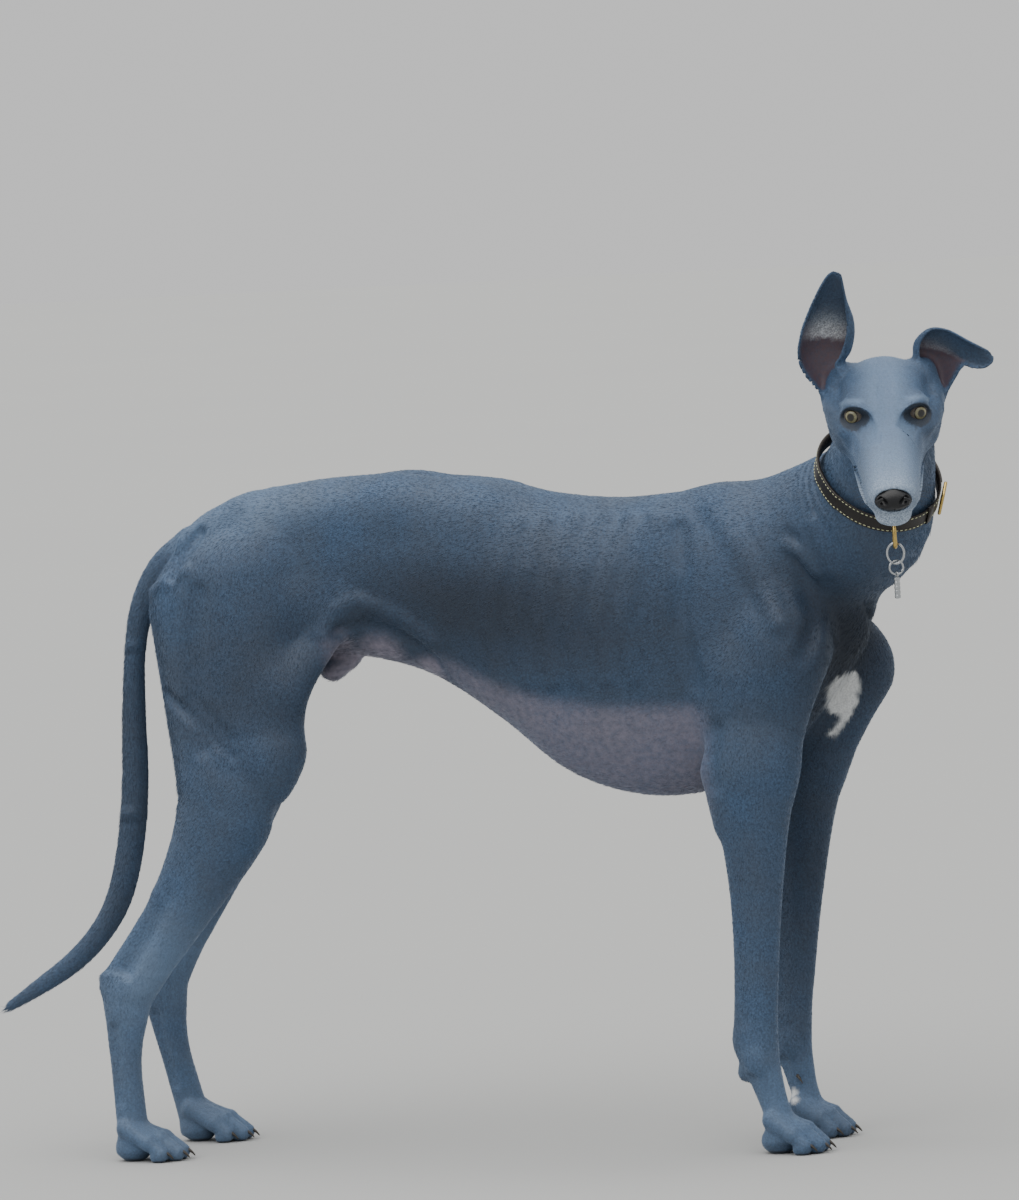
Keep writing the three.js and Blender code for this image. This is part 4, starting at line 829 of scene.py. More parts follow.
def chest_white(points):
    """The drop-shaped white patch, wide at the top and drawn out to a curved point below."""
    q = CHEST_PLACE.local(points)
    rows = np.array(CHEST_EDGES[::-1], float)
    left, right = (np.interp(q[:, 2], rows[:, 0], rows[:, k]) for k in (1, 2))
    inside = np.minimum(np.minimum(q[:, 1] - left, right - q[:, 1]), np.minimum(24 - q[:, 2], q[:, 2] + 47))
    return smooth(-1.5, 1.5, inside) * smooth(60, 45, np.abs(q[:, 0])) * smooth(300, 320, points[:, 0])


def ear_marks(body, points):
    inner, tuft, along = (np.zeros(len(points)) for _ in range(3))
    for ear, side in zip(body.ears, SIDES):
        place = ear.places(points)
        known = ~np.isnan(place[:, 2])
        u, v, out = place[known].T
        near = ear.tree.find_nearest(ear_points(side, np.array([0.5]), np.array([0.0]))[0])
        facing = np.sign(near[1].dot(Vector(HEAD.rows[0]))) or 1.0
        front = smooth(0.1, 1.2, out * facing)
        inner[known] = np.maximum(inner[known], front * (1 - smooth(0.7, 0.98, np.abs(v))) * (1 - smooth(0.86, 0.98, u)))
        patch = smooth(0.33, 0.37, u) * np.exp(-((u - 0.36) / 0.15) ** 2 - (v / 0.5) ** 2)
        tuft[known] = np.maximum(tuft[known], front * patch * (1.0 if side == "right" else 0.3))
        along[known] = np.maximum(along[known], np.where(inner[known] > 0.2, u, 0.6 * u))
    return inner, tuft, along


def marks_at(body, points, normals):
    """Every marking's strength from 0 to 1 at points of the surface, the painted light and shade among them."""
    h = HEAD.local(points)
    on_head = smooth(-140, -112, h[:, 0]) * smooth(150, 110, np.abs(h[:, 1])) * smooth(-115, -90, h[:, 2])
    inner, tuft, along = ear_marks(body, points)
    muzzle = on_head * smooth(26, 92, h[:, 0])
    ring = np.exp(-(np.linalg.norm((h - (116, 0, -38)) / (20, 32, 26), axis=1) ** 2))
    chin = on_head * smooth(10, 70, h[:, 0]) * smooth(-44, -58, h[:, 2])
    mouth = np.full(len(points), 60.0)
    for a, b in zip(body.mouth[:-1], body.mouth[1:]):
        t = np.clip((points - a) @ (b - a) / ((b - a) @ (b - a)), 0, 1)
        mouth = np.minimum(mouth, np.linalg.norm(points - a - t[:, None] * (b - a), axis=1))
    rim, socket, brow = (np.zeros(len(points)) for _ in range(3))
    for s in SIDES.values():
        d = lid_opening(s).distance(points)
        near = np.linalg.norm(points - eye_axes(s).origin, axis=1) < 24
        q = eye_axes(s).local(points)
        # A spot of painted shade in the inner corner of each eye
        corner = np.exp(-(np.linalg.norm((q - (8, -13 * s, 5)) / (10, 4, 6), axis=1) ** 2))
        rim = np.maximum(rim, near * (1 - smooth(0.3, 1.5, d)))
        socket = np.maximum(socket, 0.5 * corner)
        brow = np.maximum(brow, np.exp(-((d - 5.5) / 3.0) ** 2) * smooth(-1, 5, q[:, 2]) * smooth(-14, -4, q[:, 1] * s) * near)
    groin = spots(points, BELLY_PINK, 0.55) * smooth(0.35, -0.35, normals[:, 2])
    # Painted shade under the chest, between the forelegs
    between = smooth(46, 16, np.abs(points[:, 1])) * smooth(640, 560, points[:, 2]) * smooth(150, 260, points[:, 0])
    line = np.interp(points[:, 0], (-60, 0, 60, 130, 240), (560, 530, 512, 500, 498))
    thin = 0.62 * smooth(8, -16, points[:, 2] - line) * smooth(-90, -30, points[:, 0]) * smooth(264, 226, points[:, 0])
    thin = thin * smooth(360, 392, points[:, 2])
    # The body's painted light and shade, with the paler hair of the lower legs
    tone = np.zeros(len(points))
    for center, reach, change in PAINTED_LIGHT_AND_TONE:
        tone += change * np.exp(-((points - np.array(center, float)) ** 2 / np.square(reach)).sum(1))
    tone = tone * (1 - on_head)
    return {
        "white": np.maximum(chest_white(points), spots(points, PASTERN_SPOT, 0.4)),
        "grizzle": np.clip(0.16 * muzzle + 0.6 * ring * on_head + 0.95 * chin, 0, 1),
        "pink": np.maximum(groin, thin),
        # A dark lip line along the mouth, painted shade in the inner corners of the eyes and under the chest between
        # the forelegs, and a darker band on the sides of the head behind the eyes
        "dark": np.clip(0.92 * (1 - smooth(1.0, 2.8, mouth)) + 0.6 * socket + 0.35 * between * smooth(0.2, -0.6, normals[:, 2])
                        + 0.25 * on_head * np.exp(-((h[:, 0] + 20) / 26) ** 2) * smooth(30, 46, np.abs(h[:, 1])), 0, 1),
        "ear_in": inner * smooth(0.52, 0.34, along),
        "ear_tuft": tuft,
        "sole": smooth(5.5, 1.5, points[:, 2]) * smooth(-0.5, -0.85, normals[:, 2]),
        "rim": rim,
        # Painted highlight on the top of the head where it faces up, paler hair above the upper lids, the body's
        # painted light and shade, and darker inside the ears and towards their tips
        "painted_light_and_tone": np.clip(0.5 + 0.14 * on_head * smooth(40, 8, np.abs(h[:, 1])) * smooth(0.0, 0.6, normals @ HEAD.rows[2])
                             + 0.14 * brow + tone - 0.2 * inner - 0.1 * smooth(0.8, 1.0, along), 0, 1),
    }


# Lie of the coat and where its tufts are long, dense or short
REGIONS = ("torso_front", "torso_rear", "neck", "head", "fore_legs", "hind_leg_right", "tail", "hind_leg_left")


def path_along(points, rows):
    """The nearest place on a path and its direction there."""
    path = np.asarray(rows, float)[:, :3]
    best, place, line = np.full(len(points), 1e18), np.zeros(len(points)), np.zeros((len(points), 3))
    for i in range(len(path) - 1):
        d = path[i + 1] - path[i]
        t = np.clip((points - path[i]) @ d / (d @ d), 0, 1)
        r = ((points - path[i] - t[:, None] * d) ** 2).sum(1)
        near = r < best
        best, place = np.where(near, r, best), np.where(near, (i + t) / (len(path) - 1), place)
        line[near] = unit(d)
    return place, line


def lie_at(body, points, normals):
    """Region, direction of the hair and a flat place on the region's own unwrap, the direction blended by how near each
    region is.
    """
    names = list(body.groups)
    reach = np.stack([field_at(points, body.groups[name], floor=False) for name in names], 1)
    weight = np.exp(-np.maximum(reach - reach.min(1)[:, None], 0) / 9)
    weight /= weight.sum(1)[:, None]
    nearest = np.array(names)[reach.argmin(1)]
    h = HEAD.local(points)
    lie = np.zeros_like(points)
    uv = np.zeros((len(points), 2))
    region = np.zeros(len(points), int)
    for k, name in enumerate(names):
        mine = nearest == name
        if name == "torso":
            side = 1 - np.abs(normals[:, 2])
            line = np.stack([-np.ones(len(points)), np.zeros(len(points)), -0.42 * side], 1)
            flat = np.stack([np.arctan2(points[:, 1], points[:, 2] - 600) / (2 * math.pi) + 0.5, (points[:, 0] + 440) / 880], 1)
            region[mine] = np.where(points[mine, 0] > -20, 0, 1)
        elif name == "neck":
            place, along = path_along(points, NECK_ROWS)
            line = -along
            flat = np.stack([np.arctan2(points[:, 1] + 40, points[:, 2] - 700) / (2 * math.pi) + 0.5, place], 1)
            region[mine] = 2
        elif name == "head":
            line = np.tile(-HEAD.rows[0] + 0.15 * HEAD.rows[2], (len(points), 1))
            flat = np.stack([np.arctan2(h[:, 1], h[:, 2] + 20) / (2 * math.pi) + 0.5, (h[:, 0] + 125) / 255], 1)
            region[mine] = 3
        elif name == "tail":
            place, line = path_along(points, TAIL_ROWS)
            flat = np.stack([np.arctan2(points[:, 1], points[:, 0] + 470) / (2 * math.pi) + 0.5, place], 1)
            region[mine] = 6
        else:
            kind, side = name.split("_")
            leg = (HIND_LEGS if kind == "hind" else FORE_LEGS)[side]
            foot = smooth(62, 36, points[:, 2])[:, None]
            down = np.tile((0.0, 0.0, -1.0), (len(points), 1))
            if kind == "hind":
                shank = smooth(180, 230, points[:, 2])[:, None] * smooth(470, 400, points[:, 2])[:, None]
                down = down * (1 - shank) + shank * unit(np.subtract(leg.hock, leg.bend))
            line = down * (1 - foot) + foot * np.array((0.85, 0, -0.5))
            axis = leg.line[0] + np.clip(points[:, 2] - 200, 0, 400) * (0.4 if kind == "hind" else 0.1)
            flat = np.stack([np.arctan2(points[:, 1] - leg.line[1], points[:, 0] - axis) / (2 * math.pi) + 0.5, points[:, 2] / 700], 1)
            region[mine] = 4 if kind == "fore" else 5 if side == "right" else 7
        lie += weight[:, k:k + 1] * line
        chart = np.array((k % 4, k // 4)) / 4
        uv[mine] = chart + 0.015 + 0.22 * np.clip(flat[mine], 0, 1)
    for n, (ear, side) in enumerate(zip(body.ears, SIDES)):
        place = ear.places(points)
        known = np.flatnonzero(~np.isnan(place[:, 2]))
        u, v = place[known, 0], place[known, 1]
        lie[known] = ear_points(side, u + 0.04, v) - ear_points(side, u - 0.04, v)
        uv[known] = np.array(((2 + n) / 4, 0.5)) + 0.015 + 0.22 * np.stack([(v + 1) / 2, np.clip(u, 0, 1)], 1)
        region[known] = 3
    lie -= normals * (lie * normals).sum(1)[:, None]
    lie /= np.linalg.norm(lie, axis=1)[:, None] + 1e-9
    return region, lie, uv


def tuft_sizes(body, points, normals, region, marks):
    """Length of a tuft in millimetres, how far it stands off, and how many there are."""
    h = HEAD.local(points)
    size = np.array((5.6, 5.6, 5.4, 3.0, 4.8, 5.0, 6.0, 5.0))[region]
    foot = smooth(120, 50, points[:, 2])
    size = size * (1 - 0.35 * foot)
    size = np.where(region == 3, 2.3 + 2.2 * smooth(20, -100, h[:, 0]), size)
    lift = np.full(len(points), 0.035)
    back_of_tail = (region == 6) * smooth(0.1, 0.8, -normals[:, 0] * 0.6 - normals[:, 2] * 0.8)
    back_of_thigh = np.isin(region, (5, 7)) * smooth(0.3, 0.85, -normals[:, 0]) * smooth(360, 430, points[:, 2])
    under = (region <= 1) * smooth(-0.4, -0.9, normals[:, 2])
    chest = (region <= 2) * smooth(0.5, 0.9, normals[:, 0])
    longer = back_of_tail + 0.7 * back_of_thigh + 0.35 * under + 0.3 * chest
    size = size * (1 + 1.1 * longer) + 4.0 * marks["ear_tuft"]
    lift = lift + 0.16 * longer + 0.12 * marks["ear_tuft"]
    for ear in body.ears:
        size = np.where(((points > ear.low + 4) & (points < ear.high - 4)).all(1), 2.0 + 4.0 * marks["ear_tuft"], size)
    many = np.array((0.95, 0.95, 1.0, 2.4, 1.15, 1.1, 1.1, 1.1))[region] * (1 + 0.7 * foot) * smooth(5, 11, points[:, 2])
    many = many * (1 - np.maximum.reduce([marks["sole"], marks["rim"], 0.85 * marks["ear_in"] * (1 - marks["ear_tuft"])]))
    thin_hair = 1 - 0.6 * marks["pink"]
    return size, lift, many * thin_hair


# Meshes and materials
def linear(code, alpha=1.0):
    """An sRGB hex value as a linear colour."""
    parts = [int(code[i:i + 2], 16) / 255 for i in (1, 3, 5)]
    return (*[c / 12.92 if c <= 0.04045 else ((c + 0.055) / 1.055) ** 2.4 for c in parts], alpha)


def per_metre(millimetres):
    """The scale of a noise whose grains are this many millimetres across."""
    return 1000.0 / millimetres


def add_node(tree, kind, inputs=None, **settings):
    """Adds one node; each input is a value or the socket that feeds it."""
    made = tree.nodes.new(kind)
    for name, value in settings.items():
        setattr(made, name, value)
    for name, value in (inputs or {}).items():
        if isinstance(value, bpy.types.NodeSocket):
            tree.links.new(value, made.inputs[name])
        else:
            made.inputs[name].default_value = value
    return made


def new_material(name, **sockets):
    """A material with one Principled shader whose sockets are set directly."""
    material = bpy.data.materials.new(name)
    material.use_nodes = True
    tree = material.node_tree
    shader = tree.nodes["Principled BSDF"]
    for key, value in sockets.items():
        shader.inputs[key.replace("_", " ")].default_value = value
    return material, tree, shader


def mesh_object(name, points, faces, material, smooth_shading=True):
    """A mesh piece from points in millimetres in the body's frame."""
    mesh = bpy.data.meshes.new(name)
    points = (np.asarray(points, float) + BODY_SHIFT) * MM
    if isinstance(faces, np.ndarray):
        width = faces.shape[1]
        mesh.vertices.add(len(points))
        mesh.vertices.foreach_set("co", points.astype(np.float32).ravel())
        mesh.loops.add(faces.size)
        mesh.loops.foreach_set("vertex_index", faces.astype(np.int32).ravel())
        mesh.polygons.add(len(faces))
        mesh.polygons.foreach_set("loop_start", np.arange(0, faces.size, width, dtype=np.int32))
        mesh.update(calc_edges=True)
        mesh.validate()
    else:
        mesh.from_pydata(points.tolist(), [], faces)
    mesh.materials.append(material)
    mesh.polygons.foreach_set("use_smooth", [smooth_shading] * len(mesh.polygons))
    piece = bpy.data.objects.new(name, mesh)
    bpy.context.scene.collection.objects.link(piece)
    return piece


def outward(piece):
    """Turns a closed mesh's faces outwards."""
    made = bmesh.new()
    made.from_mesh(piece.data)
    bmesh.ops.recalc_face_normals(made, faces=made.faces)
    made.to_mesh(piece.data)
    made.free()
    return piece


def body_points(mesh):
    """A mesh's points back in millimetres in the body's frame, and their normals."""
    points = np.empty(len(mesh.vertices) * 3, np.float32)
    mesh.vertices.foreach_get("co", points)
    normals = np.empty(len(mesh.vertices) * 3, np.float32)
    mesh.vertices.foreach_get("normal", normals)
    return points.reshape(-1, 3).astype(float) / MM - BODY_SHIFT, normals.reshape(-1, 3).astype(float)


def set_values(mesh, name, values):
    kind = "FLOAT_VECTOR" if values.ndim == 2 else "FLOAT"
    layer = mesh.attributes.new(name, kind, "POINT")
    layer.data.foreach_set("vector" if values.ndim == 2 else "value", values.astype(np.float32).ravel())


def evaluated_mesh(piece, name):
    """A plain mesh of a piece with its modifiers worked in."""
    graph = bpy.context.evaluated_depsgraph_get()
    mesh = bpy.data.meshes.new_from_object(piece.evaluated_get(graph), preserve_all_data_layers=True, depsgraph=graph)
    mesh.name = name
    return mesh


def shade_coat(tree):
    """The coat's colour: slate blue hair with its markings and painted light and shade, read from the surface's own
    values.
    """
    place = add_node(tree, "ShaderNodeTexCoord").outputs["Object"]
    mark = {name: add_node(tree, "ShaderNodeAttribute", attribute_name=name).outputs["Fac"] for name in MARKS}
    look = bpy.context.scene.greyhound_coat

    def mix(fac, a, b):
        made = add_node(tree, "ShaderNodeMix", data_type="RGBA", blend_type="MIX")
        for socket, value in ((made.inputs[0], fac), (made.inputs[6], a), (made.inputs[7], b)):
            if isinstance(value, bpy.types.NodeSocket):
                tree.links.new(value, socket)
            else:
                socket.default_value = value
        return made.outputs[2]

    def noise(size, low, high, detail=3.0):
        made = add_node(tree, "ShaderNodeTexNoise", {"Vector": place, "Scale": per_metre(size), "Detail": detail})
        spread = add_node(tree, "ShaderNodeMapRange", {"Value": made.outputs["Fac"], "From Min": 0.3, "From Max": 0.7,
                                                       "To Min": low, "To Max": high})
        return spread.outputs["Result"]

    def times(a, b):
        made = add_node(tree, "ShaderNodeMath", {0: a, 1: b}, operation="MULTIPLY")
        return made.outputs[0]

    slate = mix(noise(2.2, 0.0, 1.0), linear(look.hair_dark), linear(look.hair_light))
    slate = mix(noise(55.0, 0.0, 0.5), slate, linear(look.hair_warm))
    # Above a half the value paints highlight, and the paler hair of the lower legs; below a half it paints shade
    paler, deeper = (add_node(tree, "ShaderNodeMapRange", {"Value": mark["painted_light_and_tone"], "From Min": 0.5, "From Max": end})
                     for end in (1.0, 0.0))
    slate = mix(paler.outputs["Result"], slate, linear(look.pale_hair_and_highlight))
    slate = mix(deeper.outputs["Result"], slate, linear(look.painted_shade_hair))
    colour = mix(times(mark["pink"], noise(7.0, 0.45, 0.9)), slate, linear(look.belly))
    colour = mix(times(mark["grizzle"], noise(1.3, 0.15, 1.0)), colour, linear(look.grizzle))
    colour = mix(times(mark["white"], noise(2.0, 0.72, 1.0)), colour, linear(look.white))
    colour = mix(times(mark["ear_in"], noise(4.0, 0.6, 1.0)), colour, linear(look.ear_skin))
    colour = mix(times(mark["ear_tuft"], noise(1.6, 0.2, 0.95)), colour, linear(look.ear_hair))
    # Dark lip line, with painted shade at the eyes' inner corners and between the forelegs
    colour = mix(times(mark["dark"], 0.72), colour, linear(look.shadow_hair))
    colour = mix(mark["rim"], colour, linear(look.lid_rim))
    colour = mix(mark["sole"], colour, linear(look.pad))
    return place, mark, colour, noise


def coat_material(name, bump_mm, sheen):
    # Short flat hair: a dull, slightly satin surface whose tips catch the light at grazing angles
    material, tree, shader = new_material(name, Roughness=0.58, IOR=1.5, Sheen_Weight=sheen, Sheen_Roughness=0.38,
                                          Specular_IOR_Level=0.4)
    shader.inputs["Sheen Tint"].default_value = linear("#b4cdec")
    place, mark, colour, noise = shade_coat(tree)
    tree.links.new(colour, shader.inputs["Base Color"])
    if bump_mm:
        # Hair clumps about 2 mm across, drawn coarser than single hairs so that they show
        height = add_node(tree, "ShaderNodeMath", {0: noise(1.5, 0.0, 0.6, 4.0), 1: noise(6.0, 0.0, 0.4, 2.0)}, operation="ADD")
        bump = add_node(tree, "ShaderNodeBump", {"Height": height.outputs[0], "Strength": 0.5, "Distance": bump_mm * MM})
        tree.links.new(bump.outputs["Normal"], shader.inputs["Normal"])
    return material


# Sizes and colours
def colour_text(name, code, description):
    return bpy.props.StringProperty(name=name, default=code, description=description)


class GreyhoundCoat(bpy.types.PropertyGroup):
    hair_dark: colour_text("Dark hair", "#2b3d55", "Darker hair of the slate coat")
    hair_light: colour_text("Light hair", "#435d7c", "Lighter hair of the slate coat")
    hair_warm: colour_text("Warm hair", "#3f4855", "Warmer, greyer patches of the coat")
    # Painted highlight on the top of the rump and of the head, and the paler hair of the hocks, lower legs and upper
    # lids
    pale_hair_and_highlight: colour_text("Pale hair", "#8ba6c6", "Where the coat is palest, on the forehead")
    # Painted shade on the chest, ribs, flank, thigh, tail and far foreleg, and darker inside and at the tips of the
    # ears
    painted_shade_hair: colour_text("Deep hair", "#0d1622", "Where the coat is darkest, on the chest")
    belly: colour_text("Belly", "#8a8290", "Thin-haired skin of the belly and groin")
    grizzle: colour_text("Grizzle", "#bccbdb", "Pale hairs of the muzzle and chin")
    white: colour_text("White", "#e4e6e6", "White hair of the chest and pastern")
    ear_skin: colour_text("Inner ear", "#4f3f46", "Bare skin inside the ear")
    ear_hair: colour_text("Ear hair", "#d5dbe0", "Pale hair inside the ear")
    # Dark lip line, and painted shade in the inner corners of the eyes and between the forelegs
    shadow_hair: colour_text("Dark marks", "#12161c", "Hair in the mouth line and round the eyes")
    lid_rim: colour_text("Lid rim", "#0c0d10", "Bare rim of the lids")
    pad: colour_text("Pads", "#1a1a1b", "Bare skin of the soles")
    tuft_width: bpy.props.FloatProperty(name="Tuft width", default=1.5, unit="NONE", description="Width of a tuft in millimetres")
    tuft_count: bpy.props.FloatProperty(name="Tufts", default=190000.0, description="Tufts on a square metre of coat")


class GreyhoundHead(bpy.types.PropertyGroup):
    iris: colour_text("Iris", "#7d795c", "Grey amber of the iris")
    iris_edge: colour_text("Iris edge", "#3a2f22", "Dark ring at the iris's edge")
    eye_white: colour_text("Eye white", "#6d655d", "The little of the eyeball's white that shows")
    nose: colour_text("Nose", "#0d0e11", "Bare skin of the nose")
    claw: colour_text("Claw", "#171412", "Horn of the claws")
    whisker: bpy.props.FloatProperty(name="Whisker", default=26.0, description="Length of the longest whiskers in millimetres")


class GreyhoundCollar(bpy.types.PropertyGroup):
    width: bpy.props.FloatProperty(name="Strap width", default=20.0, description="Width of the strap in millimetres")
    leather: colour_text("Leather", "#17130f", "Dyed leather of the strap")
    thread: colour_text("Thread", "#c9cba6", "Pale stitching along the strap")
    brass: colour_text("Brass", "#dcbd72", "Cast brass of buckle and loop")
    steel: colour_text("Steel", "#c9cdd0", "Plated steel of rings and tag")
    stitch: bpy.props.FloatProperty(name="Stitch", default=5.2, description="Distance from stitch to stitch in millimetres")


class GreyhoundStage(bpy.types.PropertyGroup):
    distance: bpy.props.FloatProperty(name="Distance", default=9.0, unit="LENGTH", description="From the camera to the dog")
    lens: bpy.props.FloatProperty(name="Lens", default=243.0, description="Focal length in millimetres")
    floor: colour_text("Floor", "#abacab", "Plain pale floor")


BODY = {}


def body():
    if "body" not in BODY:
        BODY["body"] = Body()
    return BODY["body"]


FLESH_NODES = ["torso", "neck", "head", "ear_right", "ear_left", "tail_root", "tail_middle", "tail_tip"] + [
    f"{part}_{side}" for side in SIDES for part in ("foreleg", "forepaw", "thigh", "lower_leg", "hind_pastern", "hindpaw")]


class GREYHOUND_OT_skin(bpy.types.Operator):
    """One skin over the whole body, with its folds, lids, ears, markings and painted light and shade"""
    bl_idname = "greyhound.skin"
    bl_label = "Skin"

    def execute(self, context):
        dog = body()
        lines = [grid_line(stops) for stops in GRID]
        points, quads = net_surface(dog.forms, lines, extra=dog.ears)
        points = relaxed(points, quads, dog.value, 2)
        skin = mesh_object("skin", points, quads, coat_material("short_slate_hair", 0.35, 0.35))
        made = bmesh.new()
        made.from_mesh(skin.data)
        bmesh.ops.holes_fill(made, edges=[edge for edge in made.edges if edge.is_boundary], sides=12)
        bmesh.ops.triangulate(made, faces=made.faces)
        made.to_mesh(skin.data)
        made.free()
        thin = skin.modifiers.new("thin", "DECIMATE")
        thin.ratio = min(1.0, 192000 / len(skin.data.polygons))
        mesh = evaluated_mesh(skin, "skin")
        skin.modifiers.clear()
        skin.data = mesh
        largest_part(mesh)
        points, normals = body_points(mesh)
        marks = marks_at(dog, points, normals)
        region, lie, uv = lie_at(dog, points, normals)
        size, lift, many = tuft_sizes(dog, points, normals, region, marks)
        for name in MARKS:
            set_values(mesh, name, marks[name])
        for name, values in (("region", region.astype(float)), ("lie", lie), ("tuft_size", size), ("tuft_lift", lift),
                             ("tuft_many", many), ("root_uv", np.column_stack([uv, np.zeros(len(uv))]))):
            set_values(mesh, name, values)
        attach(skin, "root")
        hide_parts(*FLESH_NODES)
        return {"FINISHED"}


def largest_part(mesh):
    """Keeps only the largest closed surface of a mesh."""
    made = bmesh.new()
    made.from_mesh(mesh)
    left, best = set(made.verts), []
    while left:
        stack = [left.pop()]
        part = list(stack)
        while stack:
            for edge in stack.pop().link_edges:
                for vert in edge.verts:
                    if vert in left:
                        left.remove(vert)
                        stack.append(vert)
                        part.append(vert)
        best = part if len(part) > len(best) else best
    keep = set(best)
    bmesh.ops.delete(made, geom=[vert for vert in made.verts if vert not in keep], context="VERTS")
    made.to_mesh(mesh)
    made.free()
    mesh.polygons.foreach_set("use_smooth", [True] * len(mesh.polygons))


def coat_tree():
    """Scatters tufts over one region of the skin, laid along the coat, each with its own patch of the unwrap."""
    tree = bpy.data.node_groups.new("short_coat", "GeometryNodeTree")
    sockets = {}
    for name, kind in (("Skin", "NodeSocketGeometry"), ("Region", "NodeSocketFloat"), ("Density", "NodeSocketFloat"),
                       ("Width", "NodeSocketFloat"), ("Seed", "NodeSocketInt"), ("Hair", "NodeSocketMaterial")):
        sockets[name] = tree.interface.new_socket(name, in_out="INPUT", socket_type=kind).identifier
    tree.interface.new_socket("Coat", in_out="OUTPUT", socket_type="NodeSocketGeometry")
    given = tree.nodes.new("NodeGroupInput").outputs

    def value(name, kind="FLOAT"):
        return add_node(tree, "GeometryNodeInputNamedAttribute", {"Name": name}, data_type=kind).outputs["Attribute"]

    def sum_of(kind, a, b, c=None):
        inputs = {0: a, 1: b} if c is None else {0: a, 1: b, 2: c}
        return add_node(tree, "ShaderNodeMath", inputs, operation=kind).outputs[0]

    off = sum_of("ABSOLUTE", sum_of("SUBTRACT", value("region"), given["Region"]), 0.0)
    chosen = add_node(tree, "FunctionNodeCompare", {"A": off, "B": 0.5}, data_type="FLOAT", operation="LESS_THAN")
    part = add_node(tree, "GeometryNodeSeparateGeometry", {"Geometry": given["Skin"], "Selection": chosen.outputs["Result"]},
                    domain="FACE")
    count = sum_of("MULTIPLY", given["Density"], value("tuft_many"))
    roots = add_node(tree, "GeometryNodeDistributePointsOnFaces", {
        "Mesh": part.outputs["Selection"], "Density": count, "Seed": given["Seed"]}, distribute_method="RANDOM")
    wobble = add_node(tree, "FunctionNodeRandomValue", {"Min": (-0.11, -0.11, -0.11), "Max": (0.11, 0.11, 0.11),
                                                        "Seed": 7}, data_type="FLOAT_VECTOR")
    lean = add_node(tree, "ShaderNodeVectorMath", {0: value("lie", "FLOAT_VECTOR"), 1: wobble.outputs["Value"]}, operation="ADD")
    up = add_node(tree, "ShaderNodeVectorMath", {0: roots.outputs["Normal"]}, operation="SCALE")
    tree.links.new(value("tuft_lift"), up.inputs["Scale"])
    lean = add_node(tree, "ShaderNodeVectorMath", {0: lean.outputs[0], 1: up.outputs[0]}, operation="ADD")
    turn = add_node(tree, "FunctionNodeAxesToRotation", {"Primary Axis": lean.outputs[0], "Secondary Axis": roots.outputs["Normal"]},
                    primary_axis="X", secondary_axis="Z")
    long = add_node(tree, "FunctionNodeRandomValue", {2: 0.75, 3: 1.3, "Seed": 11}, data_type="FLOAT").outputs[1]
    long = sum_of("MULTIPLY", sum_of("MULTIPLY", value("tuft_size"), 0.001), long)
    wide = sum_of("MULTIPLY", given["Width"], sum_of("MULTIPLY_ADD", value("tuft_size"), 0.075, 0.25))
    size = add_node(tree, "ShaderNodeCombineXYZ", {"X": long, "Y": wide, "Z": wide})
    blade = bpy.data.meshes.new("tuft")
    blade.from_pydata([(0, -0.5, -0.1), (0, 0.5, -0.1), (0.42, 0.0, 0.13), (1.0, 0.0, 0.02)], [],
                      [(0, 2, 1), (0, 3, 2), (1, 2, 3), (0, 1, 3)])
    tuft = bpy.data.objects.new("tuft", blade)
    shape = add_node(tree, "GeometryNodeObjectInfo", {"Object": tuft})
    own = add_node(tree, "GeometryNodeInputPosition").outputs[0]
    shape = add_node(tree, "GeometryNodeStoreNamedAttribute", {"Geometry": shape.outputs["Geometry"], "Name": "own_place", "Value": own},
                     data_type="FLOAT_VECTOR", domain="POINT")
    placed = add_node(tree, "GeometryNodeInstanceOnPoints", {
        "Points": roots.outputs["Points"], "Instance": shape.outputs["Geometry"], "Rotation": turn.outputs["Rotation"],
        "Scale": size.outputs["Vector"]})
    whole = add_node(tree, "GeometryNodeRealizeInstances", {"Geometry": placed.outputs["Instances"]})
    patch = add_node(tree, "ShaderNodeVectorMath", {0: value("own_place", "FLOAT_VECTOR"), 1: (0.003, 0.003, 0.0)}, operation="MULTIPLY")
    patch = add_node(tree, "ShaderNodeVectorMath", {0: patch.outputs[0], 1: value("root_uv", "FLOAT_VECTOR")}, operation="ADD")
    mapped = add_node(tree, "GeometryNodeStoreNamedAttribute", {
        "Geometry": whole.outputs["Geometry"], "Name": "OFBake", "Value": patch.outputs[0]}, data_type="FLOAT2", domain="CORNER")
    coloured = add_node(tree, "GeometryNodeSetMaterial", {"Geometry": mapped.outputs["Geometry"], "Material": given["Hair"]})
    end = tree.nodes.new("NodeGroupOutput")
    tree.links.new(coloured.outputs["Geometry"], end.inputs["Coat"])
    return tree, sockets


class GREYHOUND_OT_coat(bpy.types.Operator):
    """Short tufts of hair that lie along the body and break its outline"""
    bl_idname = "greyhound.coat"
    bl_label = "Coat"

    def execute(self, context):
        look = context.scene.greyhound_coat
        skin = bpy.data.objects["skin"]
        hair = coat_material("short_slate_tufts", 0, 0.45)
        tree, sockets = coat_tree()
        spare = {"own_place", "root_uv", "lie", "tuft_size", "tuft_lift", "tuft_many", "region"}
        for number, name in enumerate(REGIONS):
            carrier = bpy.data.objects.new("carrier", skin.data)
            context.scene.collection.objects.link(carrier)
            scatter = carrier.modifiers.new("coat", "NODES")
            scatter.node_group = tree
            for key, given in (("Region", float(number)), ("Density", look.tuft_count * 1.0),
                               ("Width", look.tuft_width * MM), ("Seed", 20 + number), ("Hair", hair)):
                scatter[sockets[key]] = given
            mesh = evaluated_mesh(carrier, "coat_" + name)
            bpy.data.objects.remove(carrier)
            for layer in [a.name for a in mesh.attributes if a.name in spare]:
                mesh.attributes.remove(mesh.attributes[layer])
            piece = bpy.data.objects.new("coat_" + name, mesh)
            context.scene.collection.objects.link(piece)
            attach(piece, "root")
        return {"FINISHED"}


